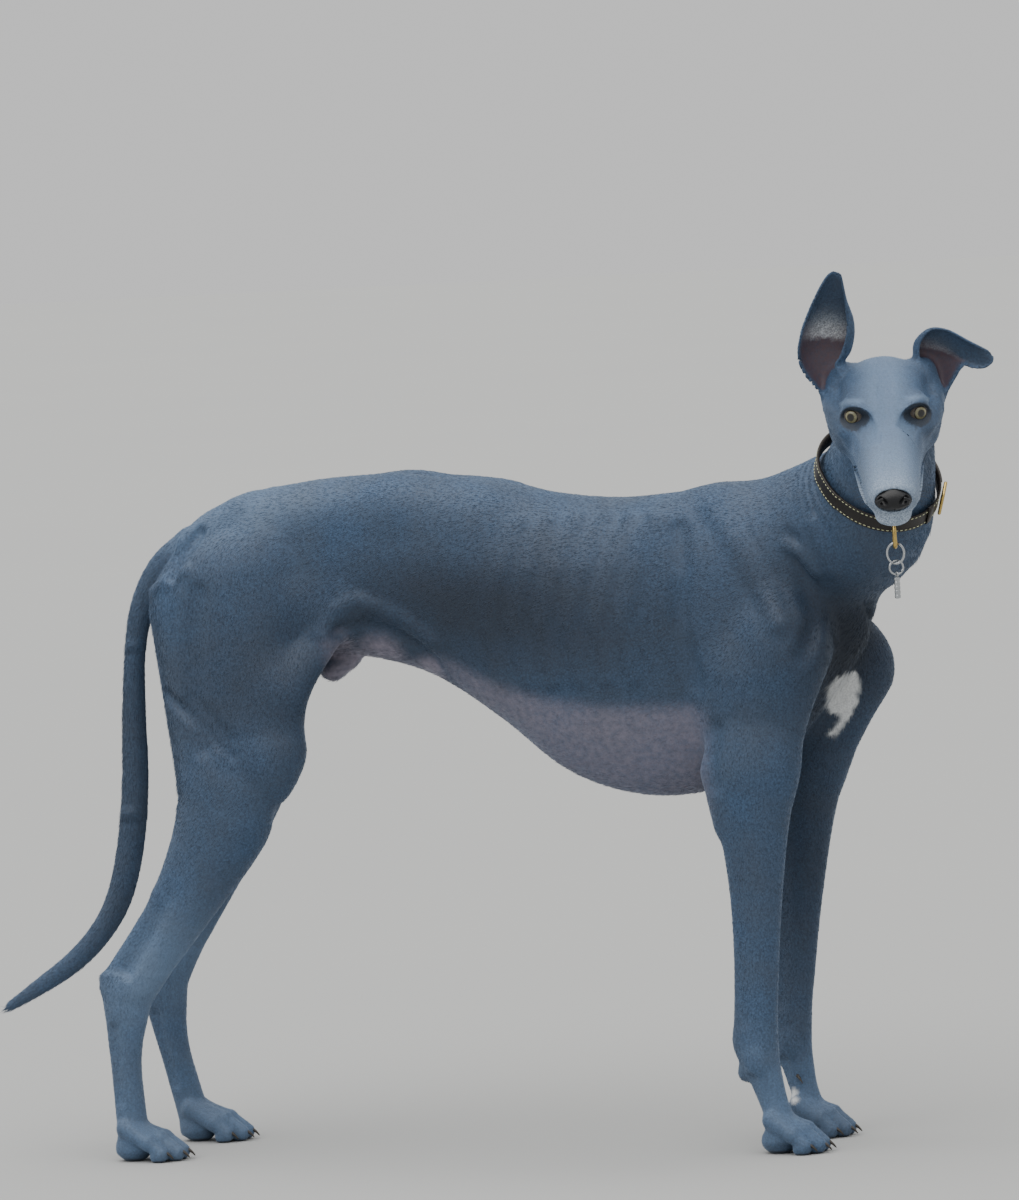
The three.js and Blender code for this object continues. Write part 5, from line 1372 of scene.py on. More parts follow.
def tube(path, radius, sides=12, closed=False, flat=1.0):
    """Points and faces of a round tube along a path, with caps where it is open."""
    path = np.asarray(path, float)
    n = len(path)
    radius = np.broadcast_to(np.asarray(radius, float), n)
    ahead = np.roll(path, -1, 0) - np.roll(path, 1, 0) if closed else np.gradient(path, axis=0)
    ahead /= np.linalg.norm(ahead, axis=1)[:, None]
    start = np.cross(ahead[0], (0.3, 0.2, 0.93))
    normals = [unit(start)]
    for k in range(1, n):
        normals.append(unit(normals[-1] - ahead[k] * (normals[-1] @ ahead[k])))
    normals = np.array(normals)
    if closed:
        last = unit(normals[-1] - ahead[0] * (normals[-1] @ ahead[0]))
        twist = math.atan2(np.cross(last, normals[0]) @ ahead[0], last @ normals[0])
        turn = twist * np.arange(n) / n
        normals = normals * np.cos(turn)[:, None] + np.cross(ahead, normals) * np.sin(turn)[:, None]
    others = np.cross(ahead, normals)
    angle = np.linspace(0, 2 * math.pi, sides, endpoint=False)
    points = (path[:, None] + radius[:, None, None] * (np.cos(angle)[None, :, None] * normals[:, None]
                                                       + flat * np.sin(angle)[None, :, None] * others[:, None])).reshape(-1, 3)
    faces = []
    for i in range(n if closed else n - 1):
        for j in range(sides):
            k, m = (i + 1) % n, (j + 1) % sides
            faces.append((i * sides + j, i * sides + m, k * sides + m, k * sides + j))
    if not closed:
        faces += [tuple(range(sides))[::-1], tuple((n - 1) * sides + j for j in range(sides))]
    return points, faces


def gathered(parts):
    """Joins lists of points and faces into one."""
    points, faces, start = [], [], 0
    for p, f in parts:
        points.append(p)
        faces += [tuple(int(i) + start for i in face) for face in f]
        start += len(p)
    return np.concatenate(points), faces


def finish_piece(piece, slot, *nodes):
    outward(piece)
    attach(piece, "root")
    if nodes:
        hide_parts(*nodes)
    return piece


class GREYHOUND_OT_eyes(bpy.types.Operator):
    """Both eyes: a ball with its cornea, iris and pupil, turned towards the camera side"""
    bl_idname = "greyhound.eyes"
    bl_label = "Eyes"

    def execute(self, context):
        look = context.scene.greyhound_head
        # A wet living eye: mirror-like tear film over a matt iris
        material, tree, shader = new_material("wet_eye", Roughness=0.2, IOR=1.376, Coat_Weight=0.8, Coat_Roughness=0.03)
        angle = add_node(tree, "ShaderNodeAttribute", attribute_name="off_axis").outputs["Fac"]
        place = add_node(tree, "ShaderNodeTexCoord").outputs["Object"]
        streak = add_node(tree, "ShaderNodeTexNoise", {"Vector": place, "Scale": per_metre(0.9), "Detail": 4.0})
        ramp = add_node(tree, "ShaderNodeValToRGB", {"Fac": angle})
        stops = ((0.0, "#040404"), (0.29, "#050505"), (0.33, "#4c4731"), (0.41, look.iris), (0.54, look.iris),
                 (0.62, look.iris_edge), (0.67, "#1d1815"), (0.74, look.eye_white), (1.0, look.eye_white))
        ramp.color_ramp.elements[0].color = linear(stops[0][1])
        ramp.color_ramp.elements[1].position, ramp.color_ramp.elements[1].color = 1.0, linear(stops[-1][1])
        for position, code in stops[1:-1]:
            ramp.color_ramp.elements.new(position).color = linear(code)
        fine = add_node(tree, "ShaderNodeHueSaturation", {"Color": ramp.outputs["Color"]})
        bright = add_node(tree, "ShaderNodeMapRange", {"Value": streak.outputs["Fac"], "From Min": 0.3, "From Max": 0.7,
                                                       "To Min": 0.7, "To Max": 1.3})
        tree.links.new(bright.outputs["Result"], fine.inputs["Value"])
        tree.links.new(fine.outputs["Color"], shader.inputs["Base Color"])
        for side, s in SIDES.items():
            axes = eye_axes(s)
            rings, sides = 56, 48
            theta = np.linspace(0, math.pi, rings)[1:-1]
            bulge = 0.9 * np.maximum(0, 1 - (theta / 0.84) ** 2) ** 1.2
            radius = EYE_RADIUS - 0.15 + bulge
            turn = np.linspace(0, 2 * math.pi, sides, endpoint=False)
            body_part = np.stack([np.repeat(radius * np.cos(theta), sides),
                                  (radius * np.sin(theta))[:, None].repeat(sides, 1).ravel() * np.tile(np.cos(turn), len(theta)),
                                  (radius * np.sin(theta))[:, None].repeat(sides, 1).ravel() * np.tile(np.sin(turn), len(theta))], 1)
            points = np.vstack([body_part, (EYE_RADIUS + 0.75, 0, 0), (-EYE_RADIUS + 0.15, 0, 0)])
            faces = [(i * sides + j, (i + 1) * sides + j, (i + 1) * sides + (j + 1) % sides, i * sides + (j + 1) % sides)
                     for i in range(len(theta) - 1) for j in range(sides)]
            front, back = len(points) - 2, len(points) - 1
            faces += [(front, j, (j + 1) % sides) for j in range(sides)]
            end = (len(theta) - 1) * sides
            faces += [(back, end + (j + 1) % sides, end + j) for j in range(sides)]
            eye = mesh_object("eyeball_" + side, axes.at(points), faces, material)
            set_values(eye.data, "off_axis", np.append(np.repeat(theta, sides), (0.0, math.pi)))
            finish_piece(eye, "eye", "eye_" + side)
        return {"FINISHED"}


class GREYHOUND_OT_nose(bpy.types.Operator):
    """The bare nose with its nostrils and the groove between them"""
    bl_idname = "greyhound.nose"
    bl_label = "Nose"

    def execute(self, context):
        look = context.scene.greyhound_head
        # Bare damp skin: near black, finely pebbled
        material, tree, shader = new_material("damp_nose_skin", Roughness=0.42, IOR=1.4, Coat_Weight=0.15, Coat_Roughness=0.25)
        place = add_node(tree, "ShaderNodeTexCoord").outputs["Object"]
        cells = add_node(tree, "ShaderNodeTexVoronoi", {"Vector": place, "Scale": per_metre(1.1)})
        tone = add_node(tree, "ShaderNodeMix", data_type="RGBA")
        tree.links.new(cells.outputs["Distance"], tone.inputs[0])
        tone.inputs[6].default_value, tone.inputs[7].default_value = linear(look.nose), linear("#111318")
        tree.links.new(tone.outputs[2], shader.inputs["Base Color"])
        bump = add_node(tree, "ShaderNodeBump", {"Height": cells.outputs["Distance"], "Strength": 0.6, "Distance": 0.0003},
                        invert=True)
        tree.links.new(bump.outputs["Normal"], shader.inputs["Normal"])
        forms = nose_forms()
        for s in SIDES.values():
            def at(x, y, z):
                return HEAD.at((x, y * s, z))
            forms += [path_form([at(122, 17, -34), at(116, 21, -34), at(108, 22, -32)], [1.8, 1.5, 0.8], 1.5, carve=True),
                      path_form([at(126, 12, -29), at(124, 16, -33), at(122, 15, -39)], [1.5, 1.9, 1.4], 2.5)]
        forms.append(path_form([HEAD.at((128, 0, -33)), HEAD.at((126, 0, -42)), HEAD.at((118, 0, -51))], [0.7, 1.0, 1.2], 1.2, carve=True))
        center = HEAD.at((114, 0, -37))
        lines = [grid_line([(center[k] - 28, center[k] + 28, 0.9)]) for k in range(3)]
        points, quads = net_surface(forms, lines, floor=False)
        points = relaxed(points, quads, lambda p: field_at(p, forms, floor=False), 2)
        finish_piece(mesh_object("nose_pad", points, quads, material), "nose", "nose")
        return {"FINISHED"}


def claw_shape(root, forward, reach, drop, radius=3.3, rings=8, sides=12):
    """A blunt claw that bends down to its tip."""
    t = np.linspace(0, 1, rings)
    line = root + np.outer(reach * t, forward) + np.outer(-drop * t * t, (0, 0, 1))
    width = radius * (1 - 0.72 * t) * np.sqrt(np.clip(1 - np.maximum(t - 0.8, 0) ** 2 * 12, 0.1, 1))
    return tube(line, width, sides, flat=0.8)


class GREYHOUND_OT_claws(bpy.types.Operator):
    """Four claws on each paw and the small claw inside each foreleg"""
    bl_idname = "greyhound.claws"
    bl_label = "Claws"

    def execute(self, context):
        look = context.scene.greyhound_head
        # Horn: dark and worn dull, mottled with a paler brown
        material, tree, shader = new_material("worn_horn", Roughness=0.42, IOR=1.54)
        place = add_node(tree, "ShaderNodeTexCoord").outputs["Object"]
        grain = add_node(tree, "ShaderNodeTexNoise", {"Vector": place, "Scale": per_metre(1.4), "Detail": 3.0})
        tone = add_node(tree, "ShaderNodeMix", data_type="RGBA")
        tree.links.new(grain.outputs["Fac"], tone.inputs[0])
        tone.inputs[6].default_value, tone.inputs[7].default_value = linear(look.claw), linear("#3f382f")
        tree.links.new(tone.outputs[2], shader.inputs["Base Color"])
        parts, names = [], []
        for side in SIDES:
            for part, (x, y, stretch) in (("forepaw", fore_paw(FORE_LEGS[side])), ("hindpaw", hind_paw(HIND_LEGS[side]))):
                for n, (off, reach) in enumerate(TOES):
                    tip = toe_points(x, y, off, reach, stretch)[2]
                    parts.append(claw_shape(np.array((tip[0] + 3, tip[1], 11.2)), np.array((1.0, 0, 0)), 11.0, 7.4))
                    names.append(f"claw_{part}_{side}_{n + 1}")
            leg = FORE_LEGS[side]
            root = fore_axes(leg).at((70, 15.5 * leg.s, 10))
            parts.append(claw_shape(root, unit((0.62, -0.34 * leg.s, -0.5)), 9.9, 3.0, 2.4))
            names.append(f"dewclaw_{side}")
        finish_piece(mesh_object("claws", *gathered(parts), material), "claw", *names)
        return {"FINISHED"}


class GREYHOUND_OT_whiskers(bpy.types.Operator):
    """Whiskers on the muzzle, chin and brows, and the lashes"""
    bl_idname = "greyhound.whiskers"
    bl_label = "Whiskers and lashes"

    def execute(self, context):
        look = context.scene.greyhound_head
        material, tree, shader = new_material("dark_whisker", Roughness=0.4)
        shader.inputs["Base Color"].default_value = linear("#1b1c1f")
        random = np.random.default_rng(5)
        dog = body()
        parts = []

        def hair(root, direction, length, radius, droop):
            t = np.linspace(0, 1, 6)
            line = root + np.outer(length * t, unit(direction)) + np.outer(length * droop * t * t, -HEAD.rows[2])
            parts.append(tube(line, radius * (1 - 0.85 * t), 3))

        for s in SIDES.values():
            for row in range(3):
                for n in range(4):
                    guess = HEAD.at((98 - 9 * n, s * 24, -42 - 5.5 * row))
                    root = settle(guess[None], dog.value, 3)[0]
                    aim = HEAD.dir((-0.35 + 0.25 * n * 0, s * 0.9, -0.15 - 0.12 * row)) + random.normal(0, 0.08, 3)
                    hair(root, aim, look.whisker * random.uniform(0.6, 1.0), 0.22, 0.22)
            for n in range(3):
                root = settle(HEAD.at((4 - 7 * n, s * (27 + 5 * n), 18))[None], dog.value, 3)[0]
                hair(root, HEAD.dir((0.7, s * 0.3, 0.7)), 13, 0.1, 0.1)
            axes = eye_axes(s)
            for n in range(18):
                a = math.radians(24 + 132 * n / 17)
                side, lift = 10.2 * math.cos(a), 6.8 * math.sin(a) ** 0.9
                place = axes.at(((EYE_RADIUS + 2.0) * math.cos(lift / 12) * math.cos(side / 12), (EYE_RADIUS + 2.0) * math.sin(side / 12) * s,
                                 (EYE_RADIUS + 2.0) * math.sin(lift / 12)))
                hair(place, axes.dir((0.8, s * 0.35 * math.cos(a), 0.35)), 4.6, 0.16, -0.25)
        finish_piece(mesh_object("whiskers", *gathered(parts), material), "coat")
        return {"FINISHED"}


# Collar
COLLAR = Axes((450, -59, 738), (0.373, -0.539, 0.755))
COLLAR_CLEAR = 1.4
STRAP_THICKNESS = 3.6
THROAT_ANGLE = -math.pi / 2
BUCKLE_ANGLE = -0.56
LAP_ANGLES = (-0.35, 3.75)
BUCKLE_SIZE = (27.0, 24.0)
OUTWARD = unit((0.342, -0.94, 0))


class Strap:
    """Where the strap's inner face lies round the neck."""

    def __init__(self, width):
        dog = body()
        forms = dog.groups["neck"] + dog.groups["torso"]
        self.angles = np.linspace(-math.pi, math.pi, 241)[:-1]
        steps = np.linspace(20, 140, 481)
        reach = np.zeros(len(self.angles))
        for along in (-width / 2, 0, width / 2):
            for i, a in enumerate(self.angles):
                line = COLLAR.at(np.column_stack([np.full(481, along), steps * math.cos(a), steps * math.sin(a)]))
                inside = np.flatnonzero(field_at(line, forms) < 0)
                reach[i] = max(reach[i], steps[inside[-1]])
        kernel = np.exp(-np.linspace(-2, 2, 15) ** 2)
        wrapped = np.concatenate([reach[-7:], reach, reach[:7]])
        self.reach = np.convolve(wrapped, kernel / kernel.sum(), "valid")

    def point(self, angle, along, away):
        angle = (np.asarray(angle, float) + math.pi) % (2 * math.pi) - math.pi
        reach = np.interp(angle, np.append(self.angles, math.pi), np.append(self.reach, self.reach[0])) + away
        return COLLAR.at(np.stack(np.broadcast_arrays(along, reach * np.cos(angle), reach * np.sin(angle)), -1))


def lapped(angle):
    """1 where two layers of the strap lie over each other."""
    turn = (angle - THROAT_ANGLE) % (2 * math.pi) + THROAT_ANGLE
    return smooth(LAP_ANGLES[0] - 0.02, LAP_ANGLES[0] + 0.02, turn) * smooth(LAP_ANGLES[1] + 0.02, LAP_ANGLES[1] - 0.02, turn)


def stitch_tree():
    """Stitches set at even steps along a seam."""
    tree = bpy.data.node_groups.new("stitches", "GeometryNodeTree")
    sockets = {name: tree.interface.new_socket(name, in_out="INPUT", socket_type=kind).identifier for name, kind in (
        ("Seam", "NodeSocketGeometry"), ("Step", "NodeSocketFloat"), ("Thread", "NodeSocketFloat"), ("Cotton", "NodeSocketMaterial"))}
    tree.interface.new_socket("Stitches", in_out="OUTPUT", socket_type="NodeSocketGeometry")
    given = tree.nodes.new("NodeGroupInput").outputs
    curve = add_node(tree, "GeometryNodeMeshToCurve", {"Mesh": given["Seam"]})
    dots = add_node(tree, "GeometryNodeCurveToPoints", {"Curve": curve.outputs["Curve"], "Length": given["Step"]}, mode="LENGTH")
    ball = add_node(tree, "GeometryNodeMeshUVSphere", {"Segments": 8, "Rings": 6, "Radius": 1.0})
    length = add_node(tree, "ShaderNodeMath", {0: given["Step"], 1: 0.3}, operation="MULTIPLY").outputs[0]
    size = add_node(tree, "ShaderNodeCombineXYZ", {"X": given["Thread"], "Y": given["Thread"], "Z": length})
    turn = add_node(tree, "FunctionNodeAxesToRotation", {"Primary Axis": dots.outputs["Tangent"], "Secondary Axis": dots.outputs["Normal"]},
                    primary_axis="Z", secondary_axis="X")
    placed = add_node(tree, "GeometryNodeInstanceOnPoints", {"Points": dots.outputs["Points"], "Instance": ball.outputs["Mesh"],
                                                             "Rotation": turn.outputs["Rotation"], "Scale": size.outputs["Vector"]})
    whole = add_node(tree, "GeometryNodeRealizeInstances", {"Geometry": placed.outputs["Instances"]})
    done = add_node(tree, "GeometryNodeSetMaterial", {"Geometry": whole.outputs["Geometry"], "Material": given["Cotton"]})
    end = tree.nodes.new("NodeGroupOutput")
    tree.links.new(done.outputs["Geometry"], end.inputs["Stitches"])
    return tree, sockets


def metal(name, code, rough):
    # Worn plated or cast metal: fine scratches spread the gloss unevenly
    material, tree, shader = new_material(name, Metallic=1.0, Roughness=rough)
    place = add_node(tree, "ShaderNodeTexCoord").outputs["Object"]
    wear = add_node(tree, "ShaderNodeTexNoise", {"Vector": place, "Scale": per_metre(2.5), "Detail": 6.0})
    tone = add_node(tree, "ShaderNodeMix", data_type="RGBA")
    tree.links.new(wear.outputs["Fac"], tone.inputs[0])
    dull = [c * 0.55 for c in linear(code)[:3]]
    tone.inputs[6].default_value, tone.inputs[7].default_value = (*dull, 1), linear(code)
    tree.links.new(tone.outputs[2], shader.inputs["Base Color"])
    gloss = add_node(tree, "ShaderNodeMapRange", {"Value": wear.outputs["Fac"], "To Min": rough * 0.6, "To Max": rough * 1.7})
    tree.links.new(gloss.outputs["Result"], shader.inputs["Roughness"])
    return material


class GREYHOUND_OT_collar(bpy.types.Operator):
    """The leather strap with its stitching, keeper and buckle"""
    bl_idname = "greyhound.collar"
    bl_label = "Collar"

    def execute(self, context):
        look = context.scene.greyhound_collar
        # Bridle leather: waxed and dark, with fine grain and paler rubbed edges
        leather, tree, shader = new_material("bridle_leather", Roughness=0.46, IOR=1.48, Specular_IOR_Level=0.45)
        place = add_node(tree, "ShaderNodeTexCoord").outputs["Object"]
        grain = add_node(tree, "ShaderNodeTexVoronoi", {"Vector": place, "Scale": per_metre(0.9)})
        patch = add_node(tree, "ShaderNodeTexNoise", {"Vector": place, "Scale": per_metre(9.0), "Detail": 4.0})
        rubbed = add_node(tree, "ShaderNodeAttribute", attribute_name="rubbed").outputs["Fac"]
        worn = add_node(tree, "ShaderNodeMath", {0: rubbed, 1: patch.outputs["Fac"]}, operation="MULTIPLY")
        tone = add_node(tree, "ShaderNodeMix", data_type="RGBA")
        tree.links.new(worn.outputs[0], tone.inputs[0])
        tone.inputs[6].default_value, tone.inputs[7].default_value = linear(look.leather), linear("#2b231c")
        tree.links.new(tone.outputs[2], shader.inputs["Base Color"])
        bump = add_node(tree, "ShaderNodeBump", {"Height": grain.outputs["Distance"], "Strength": 0.5, "Distance": 0.0002})
        tree.links.new(bump.outputs["Normal"], shader.inputs["Normal"])
        strap = Strap(look.width)
        angles = np.linspace(-math.pi, math.pi, 321)[:-1]
        half = look.width / 2
        profile = [(-half + 0.9, 0.0), (-half, 0.7), (-half, 0.75), (-half + 0.8, 1.0), (-half + 2.0, 0.98), (-half + 3.4, 0.9),
                   (0, 1.0), (half - 3.4, 0.9), (half - 2.0, 0.98), (half - 0.8, 1.0), (half, 0.75), (half, 0.7), (half - 0.9, 0.0), (0, -0.02)]
        rows = []
        for along, deep in profile:
            thick = STRAP_THICKNESS - 1.2 + 1.2 * lapped(angles)
            rows.append(strap.point(angles, along, COLLAR_CLEAR + thick * deep))
        points = np.stack(rows, 1).reshape(-1, 3)
        count, width = len(angles), len(profile)
        faces = [(i * width + j, i * width + (j + 1) % width, ((i + 1) % count) * width + (j + 1) % width, ((i + 1) % count) * width + j)
                 for i in range(count) for j in range(width)]
        piece = mesh_object("collar_strap", points, faces, leather)
        edge = np.array([1.0 if abs(abs(along) - half) < 1 else 0.15 for along, _ in profile])
        set_values(piece.data, "rubbed", np.tile(edge, count))
        finish_piece(piece, "strap", "collar")
        keeper_angles = BUCKLE_ANGLE - 0.42
        ring = []
        for a in (keeper_angles - 0.05, keeper_angles, keeper_angles + 0.05):
            loop = [(-half - 1.2, 0.4), (-half - 1.3, 2.6), (-half, 4.0), (0, 4.4), (half, 4.0), (half + 1.3, 2.6), (half + 1.2, 0.4)]
            ring.append([strap.point(a, along, COLLAR_CLEAR + away) for along, away in loop])
        outer = np.array(ring)
        inner = np.array([[strap.point(a, along * 0.93, COLLAR_CLEAR + max(away - 0.9, 0.35)) for along, away in loop]
                          for a in (keeper_angles - 0.05, keeper_angles, keeper_angles + 0.05)])
        count = outer.shape[1]
        points = np.concatenate([outer.reshape(-1, 3), inner.reshape(-1, 3)])
        faces, back = [], 3 * count
        for i in range(2):
            for j in range(count - 1):
                a = i * count + j
                faces += [(a, a + 1, a + count + 1, a + count), (back + a, back + a + count, back + a + count + 1, back + a + 1)]
        for j in range(count - 1):
            faces += [(j, back + j, back + j + 1, j + 1),
                      (2 * count + j, 2 * count + j + 1, back + 2 * count + j + 1, back + 2 * count + j)]
        for i in range(2):
            for j in (0, count - 1):
                a = i * count + j
                faces.append((a, a + count, back + a + count, back + a))
        keeper = mesh_object("collar_keeper", points, faces, leather)
        set_values(keeper.data, "rubbed", np.full(len(points), 0.3))
        finish_piece(keeper, "strap")
        self.seams(context, strap, look, half)
        self.buckle(strap, look)
        return {"FINISHED"}

    def seams(self, context, strap, look, half):
        # Waxed thread in long even stitches, paler than the leather
        cotton, tree, shader = new_material("waxed_thread", Roughness=0.7)
        shader.inputs["Base Color"].default_value = linear(look.thread)
        place = add_node(tree, "ShaderNodeTexCoord").outputs["Object"]
        twist = add_node(tree, "ShaderNodeTexWave", {"Vector": place, "Scale": per_metre(0.7)})
        bump = add_node(tree, "ShaderNodeBump", {"Height": twist.outputs["Fac"], "Strength": 0.4, "Distance": 0.0002})
        tree.links.new(bump.outputs["Normal"], shader.inputs["Normal"])
        angles = np.linspace(-math.pi, math.pi, 321)[:-1]
        points, edges = [], []
        for along in (-half + 2.6, half - 2.6):
            row = strap.point(angles, along, COLLAR_CLEAR + (STRAP_THICKNESS - 1.2 + 1.2 * lapped(angles)) * 0.94 + 0.12)
            start = len(points)
            points += [tuple(p) for p in (row + BODY_SHIFT) * MM]
            edges += [(start + i, start + (i + 1) % len(row)) for i in range(len(row))]
        mesh = bpy.data.meshes.new("seams")
        mesh.from_pydata(points, edges, [])
        carrier = bpy.data.objects.new("carrier", mesh)
        context.scene.collection.objects.link(carrier)
        group, sockets = stitch_tree()
        sew = carrier.modifiers.new("sew", "NODES")
        sew.node_group = group
        for key, given in (("Step", look.stitch * MM), ("Thread", 0.00055), ("Cotton", cotton)):
            sew[sockets[key]] = given
        mesh = evaluated_mesh(carrier, "collar_stitches")
        bpy.data.objects.remove(carrier)
        piece = bpy.data.objects.new("collar_stitches", mesh)
        context.scene.collection.objects.link(piece)
        finish_piece(piece, "strap")

    def buckle(self, strap, look):
        brass = metal("cast_brass", look.brass, 0.24)
        tall, wide = BUCKLE_SIZE
        middle = strap.point(BUCKLE_ANGLE, 0, COLLAR_CLEAR + STRAP_THICKNESS + 2.1)
        axes = Axes(middle, strap.point(BUCKLE_ANGLE + 0.15, 0, 1.4) - strap.point(BUCKLE_ANGLE - 0.15, 0, 1.4), COLLAR.rows[0])
        corner = 3.2
        outline = []
        for cx, cz, start in ((1, 1, 0), (-1, 1, 90), (-1, -1, 180), (1, -1, 270)):
            for a in np.radians(np.linspace(start, start + 90, 7)):
                outline.append((cx * (wide / 2 - corner) + corner * math.cos(a), 0, cz * (tall / 2 - corner) + corner * math.sin(a)))
        parts = [tube(axes.at(np.array(outline)), 1.9, 12, closed=True)]
        prong = np.array([(x, 1.2 - 0.5 * abs(x) / 14, 0) for x in np.linspace(-wide / 2 - 1, wide / 2 + 1.4, 9)])
        parts.append(tube(axes.at(prong), np.linspace(1.35, 0.8, 9), 10))
        finish_piece(mesh_object("collar_buckle", *gathered(parts), brass), "brass", "buckle")


# What hangs at the throat: half width, half height, wire, turn, drop
PENDANTS = {
    "brass_loop": ((7.0, 11.6), 2.0, math.pi / 2, 9.4),
    "ring_oval": ((9.6, 11.2), 1.5, -0.35, 28.2),
    "ring_small": ((8.2, 7.4), 1.3, 0.42, 43.5),
}
PENDANT_AWAY = 8.6
TAG_SIZE = (3.3, 24.0)


class GREYHOUND_OT_pendants(bpy.types.Operator):
    """The brass loop, the two split rings and the ridged tag that hang at the throat"""
    bl_idname = "greyhound.pendants"
    bl_label = "Rings and tag"

    def execute(self, context):
        look = context.scene.greyhound_collar
        brass, steel = metal("cast_brass_loop", look.brass, 0.24), metal("plated_steel", look.steel, 0.2)
        strap = Strap(look.width)
        top = strap.point(THROAT_ANGLE, 0, COLLAR_CLEAR + STRAP_THICKNESS) + PENDANT_AWAY * OUTWARD
        sideways = np.cross((0, 0, 1), OUTWARD)

        def hung(drop, turn):
            return Axes(top - (0, 0, drop), math.cos(turn) * OUTWARD + math.sin(turn) * sideways)

        for name, (half, wire, turn, drop) in PENDANTS.items():
            axes = hung(drop, turn)
            if name == "brass_loop":
                a = np.linspace(0, 2 * math.pi, 49)[:-1]
                path = np.stack([0 * a, half[0] * np.cos(a), half[1] * np.sin(a)], 1)
                shape = tube(axes.at(path), wire * (1 + 0.25 * np.maximum(0, -np.sin(a))), 14, closed=True)
            else:
                a = np.linspace(0, 4 * math.pi, 121)
                path = np.stack([np.linspace(-0.5, 0.5, 121) * wire, half[0] * np.cos(a), half[1] * np.sin(a)], 1)
                shape = tube(axes.at(path), np.full(121, wire * 0.56), 10, flat=1.5)
            finish_piece(mesh_object("hanging_" + name, *gathered([shape]), brass if name == "brass_loop" else steel),
                         "brass" if name == "brass_loop" else "steel", name)
        half, _, turn, drop = PENDANTS["ring_small"]
        radius, tall = TAG_SIZE
        axes = hung(drop + half[1], turn)
        a = np.linspace(0, 2 * math.pi, 33)[:-1]
        parts = [tube(axes.at(np.stack([2.7 * np.cos(a), 0 * a, 2.7 * np.sin(a)], 1)), 0.9, 10, closed=True)]
        z = np.linspace(-tall - 2.3, -2.8, 90)
        ridge = 0.5 + 0.5 * np.cos((z + tall + 2.4) / (tall - 0.4) * 5 * 2 * math.pi - math.pi)
        r = (radius - 0.55 + 0.55 * ridge ** 0.35) * np.sqrt(np.clip(np.minimum(z + tall + 2.4, -2.6 - z) / 0.9, 0.02, 1))
        parts.append(tube(axes.at(np.stack([0 * z, 0 * z, z], 1)), r, 20))
        finish_piece(mesh_object("hanging_tag", *gathered(parts), steel), "steel", "tag")
        return {"FINISHED"}


CAMERA_TURN, CAMERA_LIFT, CAMERA_ROLL = 20.0, 4.0, 3.4
CAMERA_AIM = 612.785


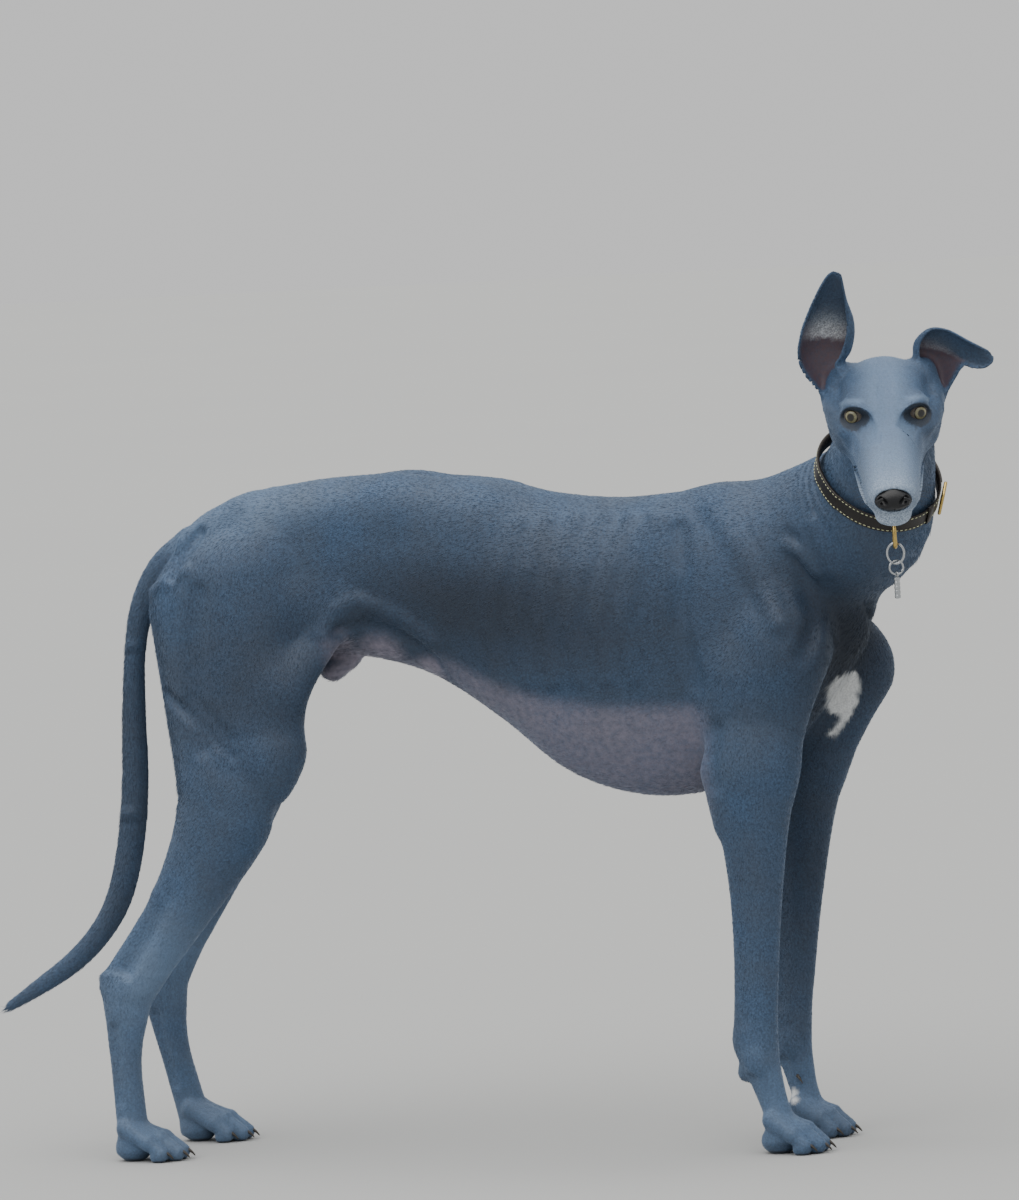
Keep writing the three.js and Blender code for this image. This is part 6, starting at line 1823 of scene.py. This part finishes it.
class GREYHOUND_OT_stage(bpy.types.Operator):
    """Pale floor, soft lights and the camera"""
    bl_idname = "greyhound.stage"
    bl_label = "Stage"

    def execute(self, context):
        look = context.scene.greyhound_stage
        floor_look, tree, shader = new_material("matt_pale_floor", Roughness=1.0, Specular_IOR_Level=0.0)
        place = add_node(tree, "ShaderNodeTexCoord").outputs["Object"]
        cloud = add_node(tree, "ShaderNodeTexNoise", {"Vector": place, "Scale": 0.8, "Detail": 2.0})
        tone = add_node(tree, "ShaderNodeMix", data_type="RGBA")
        tree.links.new(cloud.outputs["Fac"], tone.inputs[0])
        tone.inputs[6].default_value, tone.inputs[7].default_value = linear(look.floor), linear("#a9aaaa")
        tree.links.new(tone.outputs[2], shader.inputs["Base Color"])
        mesh = bpy.data.meshes.new("floor")
        mesh.from_pydata([(-30, -30, 0), (30, -30, 0), (30, 30, 0), (-30, 30, 0)], [], [(0, 1, 2, 3)])
        mesh.materials.append(floor_look)
        floor = bpy.data.objects.new("floor", mesh)
        context.scene.collection.objects.link(floor)
        world = bpy.data.worlds.new("soft_sky")
        context.scene.world = world
        world.use_nodes = True
        back = world.node_tree.nodes["Background"]
        back.inputs["Color"].default_value = (1.0, 1.0, 1.0, 1.0)
        back.inputs["Strength"].default_value = 0.72
        # One wide soft light high up, a little towards the side that the camera sees
        light = bpy.data.lights.new("soft_overhead", "SUN")
        light.energy, light.angle, light.color = 3.6, math.radians(85), (1.0, 0.985, 0.96)
        lamp = bpy.data.objects.new("soft_overhead", light)
        lamp.rotation_euler = Vector((0.1, 0.3, -0.95)).to_track_quat("-Z", "Y").to_euler()
        context.scene.collection.objects.link(lamp)
        turn, lift, roll = (math.radians(a) for a in (CAMERA_TURN, CAMERA_LIFT, CAMERA_ROLL))
        back_way = np.array((math.sin(turn) * math.cos(lift), -math.cos(turn) * math.cos(lift), math.sin(lift)))
        right = np.array((math.cos(turn), math.sin(turn), 0))
        up = np.cross(right, -back_way)
        right, up = right * math.cos(roll) - up * math.sin(roll), right * math.sin(roll) + up * math.cos(roll)
        aim = (BODY_SHIFT + (0, 0, CAMERA_AIM)) * MM
        data = bpy.data.cameras.new("camera")
        data.lens = look.lens
        data.clip_end = 100
        camera = bpy.data.objects.new("camera", data)
        camera.matrix_world = Matrix([[*row] for row in np.column_stack([right, up, back_way])]).to_4x4()
        camera.location = aim + back_way * look.distance
        context.scene.collection.objects.link(camera)
        context.scene.camera = camera
        return {"FINISHED"}


OPERATORS = (GREYHOUND_OT_stage, GREYHOUND_OT_skin, GREYHOUND_OT_coat, GREYHOUND_OT_eyes, GREYHOUND_OT_nose,
             GREYHOUND_OT_claws, GREYHOUND_OT_whiskers, GREYHOUND_OT_collar, GREYHOUND_OT_pendants)
SETTINGS = {"greyhound_coat": GreyhoundCoat, "greyhound_head": GreyhoundHead, "greyhound_collar": GreyhoundCollar,
            "greyhound_stage": GreyhoundStage}


class GREYHOUND_PT_panel(bpy.types.Panel):
    """Lists the pieces and their settings"""
    bl_idname = "GREYHOUND_PT_panel"
    bl_label = "Greyhound"
    bl_space_type = "VIEW_3D"
    bl_region_type = "UI"
    bl_category = "Greyhound"

    def draw(self, context):
        for operator in OPERATORS:
            self.layout.operator(operator.bl_idname)
        for name, group in SETTINGS.items():
            box = self.layout.box()
            for key in group.__annotations__:
                box.prop(getattr(context.scene, name), key)


def register():
    for group in SETTINGS.values():
        bpy.utils.register_class(group)
    for made in (*OPERATORS, GREYHOUND_PT_panel):
        bpy.utils.register_class(made)
    for name, group in SETTINGS.items():
        setattr(bpy.types.Scene, name, bpy.props.PointerProperty(type=group))


def unregister():
    for name in SETTINGS:
        delattr(bpy.types.Scene, name)
    for made in (GREYHOUND_PT_panel, *reversed(OPERATORS), *SETTINGS.values()):
        bpy.utils.unregister_class(made)


def main():
    register()
    bpy.ops.greyhound.stage()
    bpy.ops.greyhound.skin()
    bpy.ops.greyhound.coat()
    bpy.ops.greyhound.eyes()
    bpy.ops.greyhound.nose()
    bpy.ops.greyhound.claws()
    bpy.ops.greyhound.whiskers()
    bpy.ops.greyhound.collar()
    bpy.ops.greyhound.pendants()


if __name__ == "__main__":
    main()
